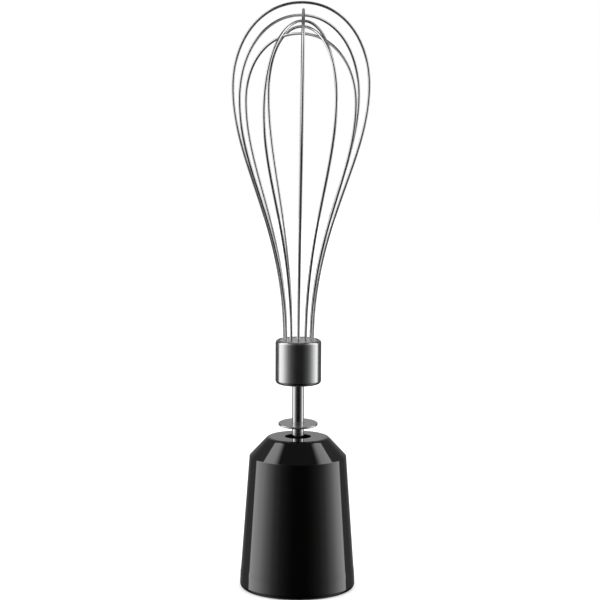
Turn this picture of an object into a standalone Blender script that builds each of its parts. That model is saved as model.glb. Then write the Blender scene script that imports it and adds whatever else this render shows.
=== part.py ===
"""Whisk attachment of a hand blender, with its planetary gearbox collar.

The conical collar clips on to the motor handle with its base rim down. Inside it the handle
turns a sun gear, three planets roll round a fixed ring gear, and their carrier turns the
shaft of a balloon whisk at one sixth of the speed. The shaft pulls out of the carrier's hub.

Frame: metres, +Z up the shaft, origin at the centre of the base rim, X in the plane of the
outermost wire loop.
"""
import math

import bmesh
import bpy
from mathutils import Matrix, Vector

MM = 0.001
GAP = 0.3 * MM              # between pieces that rest on each other
PRESS_GAP = 0.1 * MM        # between pieces that are pressed together

# Sides of the turned pieces
SLEEVE_SEGMENTS = 48
OUTER_SEGMENTS = 36
HIDDEN_SEGMENTS = 28
SMALL_SEGMENTS = 16
WIRE_HOLE_SEGMENTS = 8
LUG_STEPS = 4

# Collar sleeve
BASE_RADIUS = 26.4 * MM
BASE_FILLET = 1.6 * MM
LIP_TOP_RADIUS = 26.08 * MM
LIP_TOP_Z = 7.5 * MM
TAPER_FOOT_RADIUS = 25.82 * MM
TAPER_FOOT_Z = 9.4 * MM
SHOULDER_RADIUS = 22.0 * MM
SHOULDER_Z = 61.0 * MM
CROWN_RADIUS = 13.8 * MM
COLLAR_HEIGHT = 70.0 * MM
CROWN_HOLE_RADIUS = 5.9 * MM
CROWN_UNDERSIDE_Z = 67.2 * MM
SLEEVE_WALL = 2.25 * MM
SOCKET_RADIUS = 22.75 * MM
SOCKET_TOP_Z = 25.2 * MM
SNAP_Z = 12.75 * MM         # height of the snap bead and of its groove
SNAP_DEPTH = 0.5 * MM
EDGE = 0.4 * MM             # small moulded edge breaks

# Base cover, the socket that the motor handle enters
COVER_RADIUS = SOCKET_RADIUS - GAP
COVER_FOOT_Z = 1.2 * MM
COVER_BORE = 20.6 * MM
COVER_FLOOR_Z = 22.0 * MM
COVER_TOP_Z = 24.5 * MM
LUG_REACH = 18.9 * MM
LUG_FOOT_Z = 3.5 * MM
LUG_HEIGHT = 2.5 * MM
LUG_SWEEP = math.radians(26)

# Gear case
CASE_FOOT_Z = COVER_TOP_Z + GAP
CASE_FLANGE_RADIUS = 21.5 * MM
CASE_FLANGE_TOP_Z = 27.5 * MM
CASE_FOOT_RADIUS = 20.2 * MM
CASE_TOP_RADIUS = 19.3 * MM
CASE_BORE = 17.9 * MM
CASE_ROOF_Z = 53.0 * MM
CASE_TOP_Z = 57.0 * MM
CASE_NECK_RADIUS = 10.5 * MM
CASE_NECK_Z = 60.9 * MM
SCREW_CIRCLE = 15.8 * MM
BOSS_RADIUS = 2.9 * MM
BOSS_TOP_Z = 37.5 * MM
BOSS_HOLE_TOP_Z = 34.0 * MM
SCREW_ANGLES = [math.radians(a) for a in (30, 150, 270)]

# Case screws
SCREW_RADIUS = 1.5 * MM
SCREW_HEAD_RADIUS = 2.9 * MM
SCREW_HEAD_HEIGHT = 2.2 * MM
SCREW_LENGTH = 11.3 * MM

# Planetary gears
MODULE = 0.5 * MM
SUN_TEETH = 12
PLANET_TEETH = 24
RING_TEETH = 60
ADDENDUM = 0.8 * MODULE
DEDENDUM = 1.04 * MODULE
BACKLASH = 0.08 * MM
PRESSURE_ANGLE = math.radians(25)
PLANET_CIRCLE = (SUN_TEETH + PLANET_TEETH) * MODULE / 2
PLANET_ANGLES = [math.radians(a) for a in (0, 120, 240)]
PLANET_FOOT_Z = 38.5 * MM
PLANET_WIDTH = 8.0 * MM
PLANET_BORE = 1.7 * MM
RING_FOOT_Z = BOSS_TOP_Z + GAP
RING_WIDTH = 9.4 * MM
RING_RADIUS = 17.6 * MM
KEY_WIDTH = 3.0 * MM
KEY_REACH = 18.4 * MM

# Sun gear and drive coupling
SUN_FOOT_Z = 38.2 * MM
SUN_WIDTH = 8.2 * MM
STEM_RADIUS = 2.2 * MM
STEM_FOOT_Z = 14.5 * MM
COUPLING_RADIUS = 6.2 * MM
COUPLING_FOOT_Z = 7.0 * MM
COUPLING_HEIGHT = 12.7 * MM
SPLINE_RADIUS = 3.9 * MM
SPLINE_WAVE = 0.5 * MM
SPLINE_LOBES = 6
SPLINE_DEPTH = 6.2 * MM

# Planet carrier
CARRIER_RADIUS = 12.6 * MM
CARRIER_FOOT_Z = 46.9 * MM
CARRIER_TOP_Z = 51.0 * MM
HUB_RADIUS = 5.2 * MM
HUB_TOP_Z = 64.5 * MM
HUB_BORE = 3.0 * MM
HUB_BORE_FOOT_Z = 61.9 * MM
HEX_FOOT_Z = 52.0 * MM
HEX_FLATS = 4.4 * MM
POST_RADIUS = 2.3 * MM
POST_CIRCLE = 10.3 * MM
POST_FOOT_Z = 38.4 * MM
POST_ANGLES = [math.radians(a) for a in (60, 180, 300)]
PLATE_RADIUS = 12.2 * MM
PLATE_FOOT_Z = 35.6 * MM
PLATE_THICKNESS = 2.5 * MM
PLATE_HOLE = 4.2 * MM
PIN_RADIUS = 1.5 * MM
PIN_FOOT_Z = 35.9 * MM
PIN_LENGTH = 14.6 * MM
PIN_HOLE = PIN_RADIUS + GAP
CLIP_Z = 56.9 * MM          # middle height of the clip, its groove and the shaft's groove
CLIP_INNER = 2.95 * MM
CLIP_OUTER = 4.0 * MM
CLIP_THICKNESS = 1.0 * MM
CLIP_SWEEP = math.radians(300)
GROOVE_HEIGHT = 1.6 * MM

# Bearings, washer and seal
OUTPUT_BUSH_BORE = HUB_RADIUS + GAP
OUTPUT_BUSH_RADIUS = 7.7 * MM
OUTPUT_FLANGE_RADIUS = 9.6 * MM
FLANGE_THICKNESS = 1.2 * MM
INPUT_BUSH_BORE = STEM_RADIUS + GAP
INPUT_BUSH_RADIUS = 4.7 * MM
INPUT_FLANGE_RADIUS = 6.5 * MM
INPUT_BUSH_FOOT_Z = 20.5 * MM
WASHER_INNER = 6.6 * MM
WASHER_OUTER = 11.5 * MM
SEAL_RADIUS = 10.2 * MM

# Whisk shaft, splash disc and ferrule
SHAFT_RADIUS = 2.7 * MM
SHAFT_FOOT_Z = HEX_FOOT_Z + GAP
SHAFT_TOP_Z = 107.7 * MM
HEX_TOP_Z = 62.2 * MM
GROOVE_RADIUS = 1.7 * MM
DISC_RADIUS = 9.0 * MM
DISC_FOOT_Z = 74.95 * MM
DISC_THICKNESS = 1.8 * MM
DISC_HUB_RADIUS = 3.3 * MM
DISC_HUB_FOOT_Z = 74.0 * MM
FERRULE_RADIUS = 10.42 * MM
FERRULE_FOOT_Z = 94.5 * MM
FERRULE_TOP_Z = 114.6 * MM
FERRULE_WALL = 1.5 * MM
FERRULE_FOOT_FILLET = 1.6 * MM
FERRULE_RIM_FILLET = 1.3 * MM
HOLDER_FOOT_Z = 100.0 * MM
HOLDER_TOP_Z = 114.3 * MM
HOLDER_CENTRE_HOLE_TOP_Z = 108.0 * MM

# Wire loops
WIRE_RADIUS = 0.65 * MM
WIRE_CIRCLE = 6.5 * MM
WIRE_END_Z = 104.0 * MM
WIRE_HOLE = WIRE_RADIUS + GAP
WIRE_BEVEL_RESOLUTION = 1
FLARE_RISE = 0.468          # control lengths of the balloon's curves, as shares of its rises
FLARE_SWELL = 0.298
DOME_RISE = 0.571
DOME_SPREAD = 0.593
FLARE_STEPS = 10
DOME_STEPS = 9
# azimuth in degrees, half width, height of the widest place, height of the top
WIRE_LOOPS = [
    (0.8, 30.4 * MM, 229.0 * MM, 266.1 * MM),
    (90.8, 30.6 * MM, 225.0 * MM, 263.0 * MM),
    (30.8, 31.0 * MM, 224.0 * MM, 260.5 * MM),
    (59.8, 32.2 * MM, 220.0 * MM, 258.0 * MM),
    (-59.2, 29.6 * MM, 225.5 * MM, 255.5 * MM),
    (-30.2, 28.4 * MM, 222.0 * MM, 252.4 * MM),
]

# Finishes: linear colour, roughness, metallic
BLACK_GLOSS = ((0.006, 0.006, 0.007), 0.12, 0.0)
BLACK_MATT = ((0.012, 0.012, 0.013), 0.45, 0.0)
WHITE_NYLON = ((0.62, 0.60, 0.55), 0.50, 0.0)
POLISHED_STEEL = ((0.62, 0.62, 0.64), 0.12, 1.0)
SATIN_STEEL = ((0.56, 0.56, 0.57), 0.30, 1.0)
CUT_STEEL = ((0.42, 0.42, 0.43), 0.35, 1.0)
SINTERED_BRONZE = ((0.45, 0.27, 0.12), 0.48, 1.0)
BLACK_RUBBER = ((0.016, 0.016, 0.016), 0.75, 0.0)


def clear_scene():
    """Start from an empty scene."""
    for obj in list(bpy.data.objects):
        bpy.data.objects.remove(obj, do_unlink=True)


# ---------------------------------------------------------------- shared helpers

def add_empty(name, location=(0, 0, 0), parent=None):
    """Add an empty on a joint's axis."""
    empty = bpy.data.objects.new(name, None)
    empty.empty_display_size = 10 * MM
    bpy.context.scene.collection.objects.link(empty)
    empty.location = location
    empty.parent = parent
    return empty


def add_object(name, data, finish=None, location=(0, 0, 0), parent=None, turn=0.0):
    """Add an object with its own material, at a place and an angle about Z."""
    obj = bpy.data.objects.new(name, data)
    bpy.context.scene.collection.objects.link(obj)
    obj.location = location
    obj.rotation_euler.z = turn
    obj.parent = parent
    if finish:
        colour, roughness, metallic = finish
        material = bpy.data.materials.new(name)
        material.use_nodes = True
        shader = material.node_tree.nodes["Principled BSDF"]
        shader.inputs["Base Color"].default_value = (*colour, 1.0)
        shader.inputs["Roughness"].default_value = roughness
        shader.inputs["Metallic"].default_value = metallic
        obj.data = data.copy() if data.users > 1 else data
        obj.data.materials.clear()
        obj.data.materials.append(material)
    return obj


def boolean(target, cutter, operation="DIFFERENCE"):
    """Cut or join a hidden helper object into a piece."""
    cutter.parent = target
    cutter.hide_render = True
    cutter.display_type = "WIRE"
    modifier = target.modifiers.new(cutter.name, "BOOLEAN")
    modifier.operation = operation
    modifier.object = cutter


def mesh_from(bm, name):
    """Finish a bmesh: faces out, round sides smooth, crisp edges sharp."""
    bmesh.ops.remove_doubles(bm, verts=bm.verts, dist=1e-6)
    bmesh.ops.recalc_face_normals(bm, faces=bm.faces)
    mesh = bpy.data.meshes.new(name)
    bm.to_mesh(mesh)
    bm.free()
    mesh.shade_smooth()
    mesh.set_sharp_from_angle(angle=math.radians(30))
    return mesh


def turned(name, profile, segments=HIDDEN_SEGMENTS):
    """Turn a closed (radius, height) outline about Z."""
    bm = bmesh.new()
    verts = [bm.verts.new((radius, 0, height)) for radius, height in profile]
    edges = [bm.edges.new((a, b)) for a, b in zip(verts, verts[1:])]
    if profile[0][0] > 0 or profile[-1][0] > 0:
        edges.append(bm.edges.new((verts[-1], verts[0])))
    bmesh.ops.spin(bm, geom=verts + edges, cent=(0, 0, 0), axis=(0, 0, 1),
                   angle=math.tau, steps=segments)
    return mesh_from(bm, name)


def turned_part(name, profile, sweep, segments):
    """Turn a closed outline through part of a turn, centred on +X, with flat ends."""
    bm = bmesh.new()
    verts = [bm.verts.new((radius, 0, height)) for radius, height in profile]
    face = bm.faces.new(verts)
    bmesh.ops.rotate(bm, verts=verts, cent=(0, 0, 0), matrix=turn_matrix(-sweep / 2))
    bmesh.ops.spin(bm, geom=[face], cent=(0, 0, 0), axis=(0, 0, 1), angle=sweep, steps=segments)
    return mesh_from(bm, name)


def turn_matrix(angle):
    """Rotation about Z."""
    return Matrix.Rotation(angle, 3, "Z")


def prism(name, outline, height):
    """Extrude a closed (x, y) outline upwards from z = 0."""
    bm = bmesh.new()
    face = bm.faces.new([bm.verts.new((x, y, 0)) for x, y in outline])
    top = bmesh.ops.extrude_face_region(bm, geom=[face])["geom"]
    raised = [item for item in top if isinstance(item, bmesh.types.BMVert)]
    bmesh.ops.translate(bm, verts=raised, vec=(0, 0, height))
    return mesh_from(bm, name)


def disc_outline(radius, segments):
    """Regular polygon on a circle."""
    angles = [math.tau * i / segments for i in range(segments)]
    return [(radius * math.cos(a), radius * math.sin(a)) for a in angles]


def box_outline(x0, x1, width):
    """Rectangle along +X."""
    return [(x0, -width / 2), (x1, -width / 2), (x1, width / 2), (x0, width / 2)]


def arc(centre_r, centre_z, radius, start, end, steps=3):
    """Points of a fillet in the (radius, height) plane, angles in degrees."""
    angles = [math.radians(start + (end - start) * i / steps) for i in range(steps + 1)]
    return [(centre_r + radius * math.cos(a), centre_z + radius * math.sin(a)) for a in angles]


def around(circle, angle, height=0.0):
    """Point on a circle about the axis."""
    return (circle * math.cos(angle), circle * math.sin(angle), height)


def cut_round(target, name, radius, foot_z, top_z, place=(0, 0), segments=SMALL_SEGMENTS):
    """Cut a round hole between two heights of the piece's own frame."""
    mesh = prism(name, disc_outline(radius, segments), top_z - foot_z)
    location = (place[0], place[1], foot_z)
    boolean(target, add_object(name, mesh, location=location, turn=math.pi / segments))


# ---------------------------------------------------------------- gears

def involute(angle):
    """Involute function of a pressure angle."""
    return math.tan(angle) - angle


def gear_outline(teeth, root, tip, backlash, flank_points):
    """Outline of an involute gear with a tooth centred on +X.

    The half angle of a tooth at radius r is that at the pitch circle, plus the involute of
    the pressure angle, minus the involute of the angle whose cosine is base radius / r.
    """
    pitch = teeth * MODULE / 2
    base = pitch * math.cos(PRESSURE_ANGLE)
    half_pitch = (math.pi * MODULE / 2 - backlash) / (2 * pitch) + involute(PRESSURE_ANGLE)
    radii = [root + (tip - root) * i / (flank_points - 1) for i in range(flank_points)]
    flank = [(r, half_pitch - involute(math.acos(min(1.0, base / r)))) for r in radii]
    outline = []
    for tooth in range(teeth):
        middle = math.tau * tooth / teeth
        outline += [(r * math.cos(middle - h), r * math.sin(middle - h)) for r, h in flank]
        outline += [(r * math.cos(middle + h), r * math.sin(middle + h)) for r, h in flank[::-1]]
    return outline


def outside_gear(teeth, flank_points):
    """Outline of a gear with teeth outwards."""
    pitch = teeth * MODULE / 2
    return gear_outline(teeth, pitch - DEDENDUM, pitch + ADDENDUM, BACKLASH, flank_points)


def add_ring_gear(parent):
    """Fixed ring with inward teeth and three outer keys that stop it turning in the case."""
    blank = prism("ring_gear", disc_outline(RING_RADIUS, OUTER_SEGMENTS), RING_WIDTH)
    ring = add_object("ring_gear", blank, WHITE_NYLON, (0, 0, RING_FOOT_Z), parent)
    for index, angle in enumerate(PLANET_ANGLES):
        key = prism("ring_key", box_outline(KEY_REACH - 2 * MM, KEY_REACH, KEY_WIDTH), RING_WIDTH)
        boolean(ring, add_object(f"ring_key_{index + 1}", key, turn=angle), "UNION")
    pitch = RING_TEETH * MODULE / 2
    spaces = gear_outline(RING_TEETH, pitch - ADDENDUM, pitch + DEDENDUM, -BACKLASH, 2)
    hole = prism("ring_hole", spaces, RING_WIDTH + 2 * MM)
    boolean(ring, add_object("ring_hole", hole, location=(0, 0, -MM), turn=math.pi / RING_TEETH))


def add_sun_gear(parent):
    """Steel pinion on the stem that comes up from the drive coupling."""
    pinion = prism("sun_gear", outside_gear(SUN_TEETH, 3), SUN_WIDTH)
    sun = add_object("sun_gear", pinion, CUT_STEEL, (0, 0, SUN_FOOT_Z), parent)
    length = SUN_FOOT_Z - STEM_FOOT_Z + MM
    stem = prism("sun_stem", disc_outline(STEM_RADIUS, SMALL_SEGMENTS), length)
    boolean(sun, add_object("sun_stem", stem, location=(0, 0, STEM_FOOT_Z - SUN_FOOT_Z)), "UNION")


def add_planet_gears(carrier_axis):
    """Three planets, each on its own axis, turned so that a space faces the sun."""
    for index, angle in enumerate(PLANET_ANGLES):
        axis = add_empty(f"planet_axis_{index + 1}", around(PLANET_CIRCLE, angle), carrier_axis)
        name = f"planet_gear_{index + 1}"
        wheel = prism(name, outside_gear(PLANET_TEETH, 2), PLANET_WIDTH)
        turn = angle + math.pi + math.pi / PLANET_TEETH
        gear = add_object(name, wheel, WHITE_NYLON, (0, 0, PLANET_FOOT_Z), axis, turn)
        cut_round(gear, f"planet_bore_{index + 1}", PLANET_BORE, -MM, PLANET_WIDTH + MM)


# ---------------------------------------------------------------- housing

def add_outer_sleeve(parent):
    """Glossy conical shell: lipped base, straight taper, chamfered crown with a hole."""
    draft = (TAPER_FOOT_RADIUS - SHOULDER_RADIUS) / (SHOULDER_Z - TAPER_FOOT_Z)
    inner_top_z = SHOULDER_Z - 0.8 * MM
    inner_top = SHOULDER_RADIUS - SLEEVE_WALL
    inner_foot_z = SOCKET_TOP_Z + 0.8 * MM
    inner_foot = inner_top + draft * (inner_top_z - inner_foot_z)
    groove = SOCKET_RADIUS + SNAP_DEPTH
    profile = [(SOCKET_RADIUS + EDGE, 0)]
    profile += arc(BASE_RADIUS - BASE_FILLET, BASE_FILLET, BASE_FILLET, -90, 0)
    profile += [
        (LIP_TOP_RADIUS, LIP_TOP_Z),
        (TAPER_FOOT_RADIUS, TAPER_FOOT_Z),
        (SHOULDER_RADIUS, SHOULDER_Z),
        (CROWN_RADIUS, COLLAR_HEIGHT),
        (CROWN_HOLE_RADIUS + EDGE, COLLAR_HEIGHT),
        (CROWN_HOLE_RADIUS, COLLAR_HEIGHT - EDGE),
        (CROWN_HOLE_RADIUS, CROWN_UNDERSIDE_Z),
        (CROWN_RADIUS - MM, CROWN_UNDERSIDE_Z),
        (inner_top, inner_top_z),
        (inner_foot, inner_foot_z),
        (SOCKET_RADIUS, SOCKET_TOP_Z),
        (SOCKET_RADIUS, SNAP_Z + 1.2 * MM),
        (groove, SNAP_Z + 0.9 * MM),
        (groove, SNAP_Z - 0.9 * MM),
        (SOCKET_RADIUS, SNAP_Z - 1.2 * MM),
        (SOCKET_RADIUS, EDGE),
    ]
    shell = turned("outer_sleeve", profile, SLEEVE_SEGMENTS)
    add_object("outer_sleeve", shell, BLACK_GLOSS, parent=parent)


def add_base_cover(parent):
    """Cup that closes the gear case and takes the motor handle's nose, with bayonet lugs."""
    bead = COVER_RADIUS + SNAP_DEPTH - 0.05 * MM
    hole = INPUT_BUSH_RADIUS + GAP
    profile = [
        (hole, COVER_FLOOR_Z),
        (COVER_BORE - EDGE, COVER_FLOOR_Z),
        (COVER_BORE, COVER_FLOOR_Z - EDGE),
        (COVER_BORE, COVER_FOOT_Z + EDGE),
        (COVER_BORE + EDGE, COVER_FOOT_Z),
        (COVER_RADIUS - EDGE, COVER_FOOT_Z),
        (COVER_RADIUS, COVER_FOOT_Z + EDGE),
        (COVER_RADIUS, SNAP_Z - 0.75 * MM),
        (bead, SNAP_Z - 0.35 * MM),
        (bead, SNAP_Z + 0.35 * MM),
        (COVER_RADIUS, SNAP_Z + 0.75 * MM),
        (COVER_RADIUS, COVER_TOP_Z),
        (hole, COVER_TOP_Z),
    ]
    cup = turned("base_cover", profile, OUTER_SEGMENTS)
    cover = add_object("base_cover", cup, BLACK_MATT, parent=parent)
    lug_top = LUG_FOOT_Z + LUG_HEIGHT
    section = [(LUG_REACH, LUG_FOOT_Z), (COVER_BORE + 0.5 * MM, LUG_FOOT_Z),
               (COVER_BORE + 0.5 * MM, lug_top), (LUG_REACH, lug_top)]
    for index, angle in enumerate(SCREW_ANGLES):
        lug = turned_part("lug", section, LUG_SWEEP, LUG_STEPS)
        boolean(cover, add_object(f"lug_{index + 1}", lug, turn=angle + math.pi), "UNION")
        x, y, _ = around(SCREW_CIRCLE, angle)
        cut_round(cover, f"cover_screw_hole_{index + 1}", SCREW_RADIUS + GAP,
                  COVER_FLOOR_Z - MM, COVER_TOP_Z + MM, (x, y))


def add_gear_case(parent):
    """Drum that holds the ring gear, with screw bosses and a neck for the output bush."""
    neck_bore = OUTPUT_BUSH_RADIUS + GAP
    profile = [
        (CASE_BORE, CASE_FOOT_Z),
        (CASE_FLANGE_RADIUS, CASE_FOOT_Z),
        (CASE_FLANGE_RADIUS, CASE_FLANGE_TOP_Z),
        (CASE_FOOT_RADIUS, CASE_FLANGE_TOP_Z),
        (CASE_TOP_RADIUS, CASE_TOP_Z - EDGE),
        (CASE_TOP_RADIUS - EDGE, CASE_TOP_Z),
        (CASE_NECK_RADIUS, CASE_TOP_Z),
        (CASE_NECK_RADIUS, CASE_NECK_Z),
        (neck_bore, CASE_NECK_Z),
        (neck_bore, CASE_ROOF_Z),
        (CASE_BORE, CASE_ROOF_Z),
    ]
    drum = turned("gear_case", profile, OUTER_SEGMENTS)
    case = add_object("gear_case", drum, BLACK_MATT, parent=parent)
    slot_height = RING_FOOT_Z + RING_WIDTH + GAP - CASE_FOOT_Z + MM
    slot_outline = box_outline(CASE_BORE - MM, KEY_REACH + GAP, KEY_WIDTH + 2 * GAP)
    place = (0, 0, CASE_FOOT_Z - MM)
    for index, angle in enumerate(PLANET_ANGLES):
        slot = prism("key_slot", slot_outline, slot_height)
        boolean(case, add_object(f"key_slot_{index + 1}", slot, location=place, turn=angle))
    for index, angle in enumerate(SCREW_ANGLES):
        x, y, _ = around(SCREW_CIRCLE, angle)
        boss = prism("boss", disc_outline(BOSS_RADIUS, SMALL_SEGMENTS), BOSS_TOP_Z - CASE_FOOT_Z)
        boolean(case, add_object(f"boss_{index + 1}", boss, location=(x, y, CASE_FOOT_Z)), "UNION")
        cut_round(case, f"boss_hole_{index + 1}", SCREW_RADIUS + GAP, CASE_FOOT_Z - MM,
                  BOSS_HOLE_TOP_Z, (x, y))


def add_case_screws(parent):
    """Three pan-head screws, heads down in the socket, with a cross recess."""
    head = SCREW_HEAD_HEIGHT
    profile = [(0, 0), (SCREW_HEAD_RADIUS - 0.8 * MM, 0), (SCREW_HEAD_RADIUS, 0.9 * MM),
               (SCREW_HEAD_RADIUS, head), (SCREW_RADIUS, head),
               (SCREW_RADIUS, head + SCREW_LENGTH - MM), (0.8 * MM, head + SCREW_LENGTH),
               (0, head + SCREW_LENGTH)]
    for index, angle in enumerate(SCREW_ANGLES):
        name = f"case_screw_{index + 1}"
        place = around(SCREW_CIRCLE, angle, COVER_FLOOR_Z - GAP - head)
        screw = add_object(name, turned(name, profile, SMALL_SEGMENTS), CUT_STEEL, place, parent)
        for arm in range(2):
            slot = prism("recess", box_outline(-1.4 * MM, 1.4 * MM, 0.7 * MM), 1.6 * MM)
            label = f"recess_{index + 1}_{arm + 1}"
            place = (0, 0, -0.4 * MM)
            boolean(screw, add_object(label, slot, location=place, turn=arm * math.pi / 2))


def add_bushes(parent):
    """Sintered bushes of the carrier's hub and of the sun's stem."""
    top = CASE_NECK_Z + GAP
    profile = [
        (OUTPUT_BUSH_BORE, CASE_ROOF_Z + GAP),
        (OUTPUT_BUSH_RADIUS, CASE_ROOF_Z + GAP),
        (OUTPUT_BUSH_RADIUS, top),
        (OUTPUT_FLANGE_RADIUS, top),
        (OUTPUT_FLANGE_RADIUS, top + FLANGE_THICKNESS),
        (OUTPUT_BUSH_BORE, top + FLANGE_THICKNESS),
    ]
    add_object("output_bush", turned("output_bush", profile), SINTERED_BRONZE, parent=parent)
    top = COVER_TOP_Z + GAP
    profile = [
        (INPUT_BUSH_BORE, INPUT_BUSH_FOOT_Z),
        (INPUT_BUSH_RADIUS, INPUT_BUSH_FOOT_Z),
        (INPUT_BUSH_RADIUS, top),
        (INPUT_FLANGE_RADIUS, top),
        (INPUT_FLANGE_RADIUS, top + FLANGE_THICKNESS),
        (INPUT_BUSH_BORE, top + FLANGE_THICKNESS),
    ]
    add_object("input_bush", turned("input_bush", profile), SINTERED_BRONZE, parent=parent)


def add_washer_and_seal(parent):
    """Thrust washer over the carrier, and the lip seal under the crown."""
    foot = CARRIER_TOP_Z + GAP
    top = CASE_ROOF_Z - GAP
    profile = [(WASHER_INNER, foot), (WASHER_OUTER, foot), (WASHER_OUTER, top), (WASHER_INNER, top)]
    add_object("thrust_washer", turned("thrust_washer", profile), POLISHED_STEEL, parent=parent)
    foot = CASE_NECK_Z + FLANGE_THICKNESS + 2 * GAP
    top = CROWN_UNDERSIDE_Z - GAP
    lip = HUB_RADIUS + GAP
    profile = [(lip + MM, foot), (SEAL_RADIUS, foot), (SEAL_RADIUS, top), (lip + MM, top),
               (lip, top - MM), (lip, top - 2 * MM), (lip + MM, top - 3 * MM)]
    add_object("shaft_seal", turned("shaft_seal", profile), BLACK_RUBBER, parent=parent)


# ---------------------------------------------------------------- drive and carrier

def add_drive_coupling(parent):
    """Moulded dog with a lobed socket for the handle's spindle, on the foot of the stem."""
    top = COUPLING_HEIGHT
    profile = [(0, 0), (COUPLING_RADIUS - EDGE, 0), (COUPLING_RADIUS, EDGE),
               (COUPLING_RADIUS, top - MM), (COUPLING_RADIUS - MM, top), (0, top)]
    coupling = add_object("drive_coupling", turned("drive_coupling", profile), WHITE_NYLON,
                          (0, 0, COUPLING_FOOT_Z), parent)
    steps = SPLINE_LOBES * 8
    radii = [SPLINE_RADIUS + SPLINE_WAVE * math.cos(math.tau * i / 8) for i in range(steps)]
    lobes = [(r * math.cos(math.tau * i / steps), r * math.sin(math.tau * i / steps))
             for i, r in enumerate(radii)]
    socket = prism("spline_socket", lobes, SPLINE_DEPTH + MM)
    boolean(coupling, add_object("spline_socket", socket, location=(0, 0, -MM)))
    cut_round(coupling, "stem_hole", STEM_RADIUS + PRESS_GAP,
              STEM_FOOT_Z - COUPLING_FOOT_Z - GAP, top + MM)


def hexagon(flats):
    """Hexagon outline of a width across flats."""
    return disc_outline(flats / math.sqrt(3), 6)


def add_planet_carrier(parent):
    """Disc with three posts and a tall hub with a hexagonal socket for the whisk's shaft."""
    profile = [
        (0, CARRIER_FOOT_Z),
        (CARRIER_RADIUS, CARRIER_FOOT_Z),
        (CARRIER_RADIUS, CARRIER_TOP_Z),
        (HUB_RADIUS, CARRIER_TOP_Z),
        (HUB_RADIUS, HUB_TOP_Z - EDGE),
        (HUB_RADIUS - EDGE, HUB_TOP_Z),
        (0, HUB_TOP_Z),
    ]
    disc = turned("planet_carrier", profile)
    carrier = add_object("planet_carrier", disc, WHITE_NYLON, parent=parent)
    post_height = CARRIER_FOOT_Z + MM - POST_FOOT_Z
    for index, angle in enumerate(POST_ANGLES):
        post = prism("post", disc_outline(POST_RADIUS, SMALL_SEGMENTS), post_height)
        place = around(POST_CIRCLE, angle, POST_FOOT_Z)
        boolean(carrier, add_object(f"post_{index + 1}", post, location=place), "UNION")
    for index, angle in enumerate(PLANET_ANGLES):
        x, y, _ = around(PLANET_CIRCLE, angle)
        cut_round(carrier, f"carrier_pin_hole_{index + 1}", PIN_HOLE, CARRIER_FOOT_Z - MM,
                  PIN_FOOT_Z + PIN_LENGTH + GAP, (x, y))
    socket = prism("hex_socket", hexagon(HEX_FLATS + 2 * GAP), HUB_TOP_Z - HEX_FOOT_Z + MM)
    boolean(carrier, add_object("hex_socket", socket, location=(0, 0, HEX_FOOT_Z)))
    cut_round(carrier, "hub_mouth", HUB_BORE, HUB_BORE_FOOT_Z, HUB_TOP_Z + MM)
    cut_round(carrier, "clip_groove", CLIP_OUTER + GAP, CLIP_Z - GROOVE_HEIGHT / 2,
              CLIP_Z + GROOVE_HEIGHT / 2)


def add_carrier_plate(parent):
    """Lower plate of the carrier, under the planets."""
    foot = PLATE_FOOT_Z
    top = foot + PLATE_THICKNESS
    profile = [(PLATE_HOLE, foot), (PLATE_RADIUS, foot), (PLATE_RADIUS, top), (PLATE_HOLE, top)]
    blank = turned("carrier_plate", profile)
    plate = add_object("carrier_plate", blank, WHITE_NYLON, parent=parent)
    for index, angle in enumerate(PLANET_ANGLES):
        x, y, _ = around(PLANET_CIRCLE, angle)
        cut_round(plate, f"plate_pin_hole_{index + 1}", PIN_HOLE, foot - MM, top + MM, (x, y))


def add_planet_pins(parent):
    """Steel pins that carry the planets."""
    bevel = 0.3 * MM
    profile = [(0, 0), (PIN_RADIUS - bevel, 0), (PIN_RADIUS, bevel),
               (PIN_RADIUS, PIN_LENGTH - bevel), (PIN_RADIUS - bevel, PIN_LENGTH), (0, PIN_LENGTH)]
    for index, angle in enumerate(PLANET_ANGLES):
        name = f"planet_pin_{index + 1}"
        add_object(name, turned(name, profile, SMALL_SEGMENTS), POLISHED_STEEL,
                   around(PLANET_CIRCLE, angle, PIN_FOOT_Z), parent)


def add_retaining_clip(parent):
    """Open spring ring in the hub's groove, round the shaft's groove."""
    half = CLIP_THICKNESS / 2
    section = [(CLIP_INNER, -half), (CLIP_OUTER, -half), (CLIP_OUTER, half), (CLIP_INNER, half)]
    clip = turned_part("retaining_clip", section, CLIP_SWEEP, SMALL_SEGMENTS)
    add_object("retaining_clip", clip, POLISHED_STEEL, (0, 0, CLIP_Z), parent)


# ---------------------------------------------------------------- whisk

def add_drive_shaft(parent):
    """Round rod with a hexagonal lower end and a groove for the clip."""
    profile = [
        (0, HEX_TOP_Z),
        (SHAFT_RADIUS - EDGE, HEX_TOP_Z),
        (SHAFT_RADIUS, HEX_TOP_Z + EDGE),
        (SHAFT_RADIUS, SHAFT_TOP_Z - EDGE),
        (SHAFT_RADIUS - EDGE, SHAFT_TOP_Z),
        (0, SHAFT_TOP_Z),
    ]
    shaft = add_object("drive_shaft", turned("drive_shaft", profile), POLISHED_STEEL, parent=parent)
    neck = disc_outline(GROOVE_RADIUS, SMALL_SEGMENTS)
    pieces = [
        ("hex_foot", hexagon(HEX_FLATS), SHAFT_FOOT_Z, CLIP_Z - GROOVE_HEIGHT / 2),
        ("hex_neck", neck, SHAFT_FOOT_Z + MM, HEX_TOP_Z + MM),
        ("hex_top", hexagon(HEX_FLATS), CLIP_Z + GROOVE_HEIGHT / 2, HEX_TOP_Z + MM),
    ]
    for name, outline, foot, top in pieces:
        piece = add_object(name, prism(name, outline, top - foot), location=(0, 0, foot))
        boolean(shaft, piece, "UNION")


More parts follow.
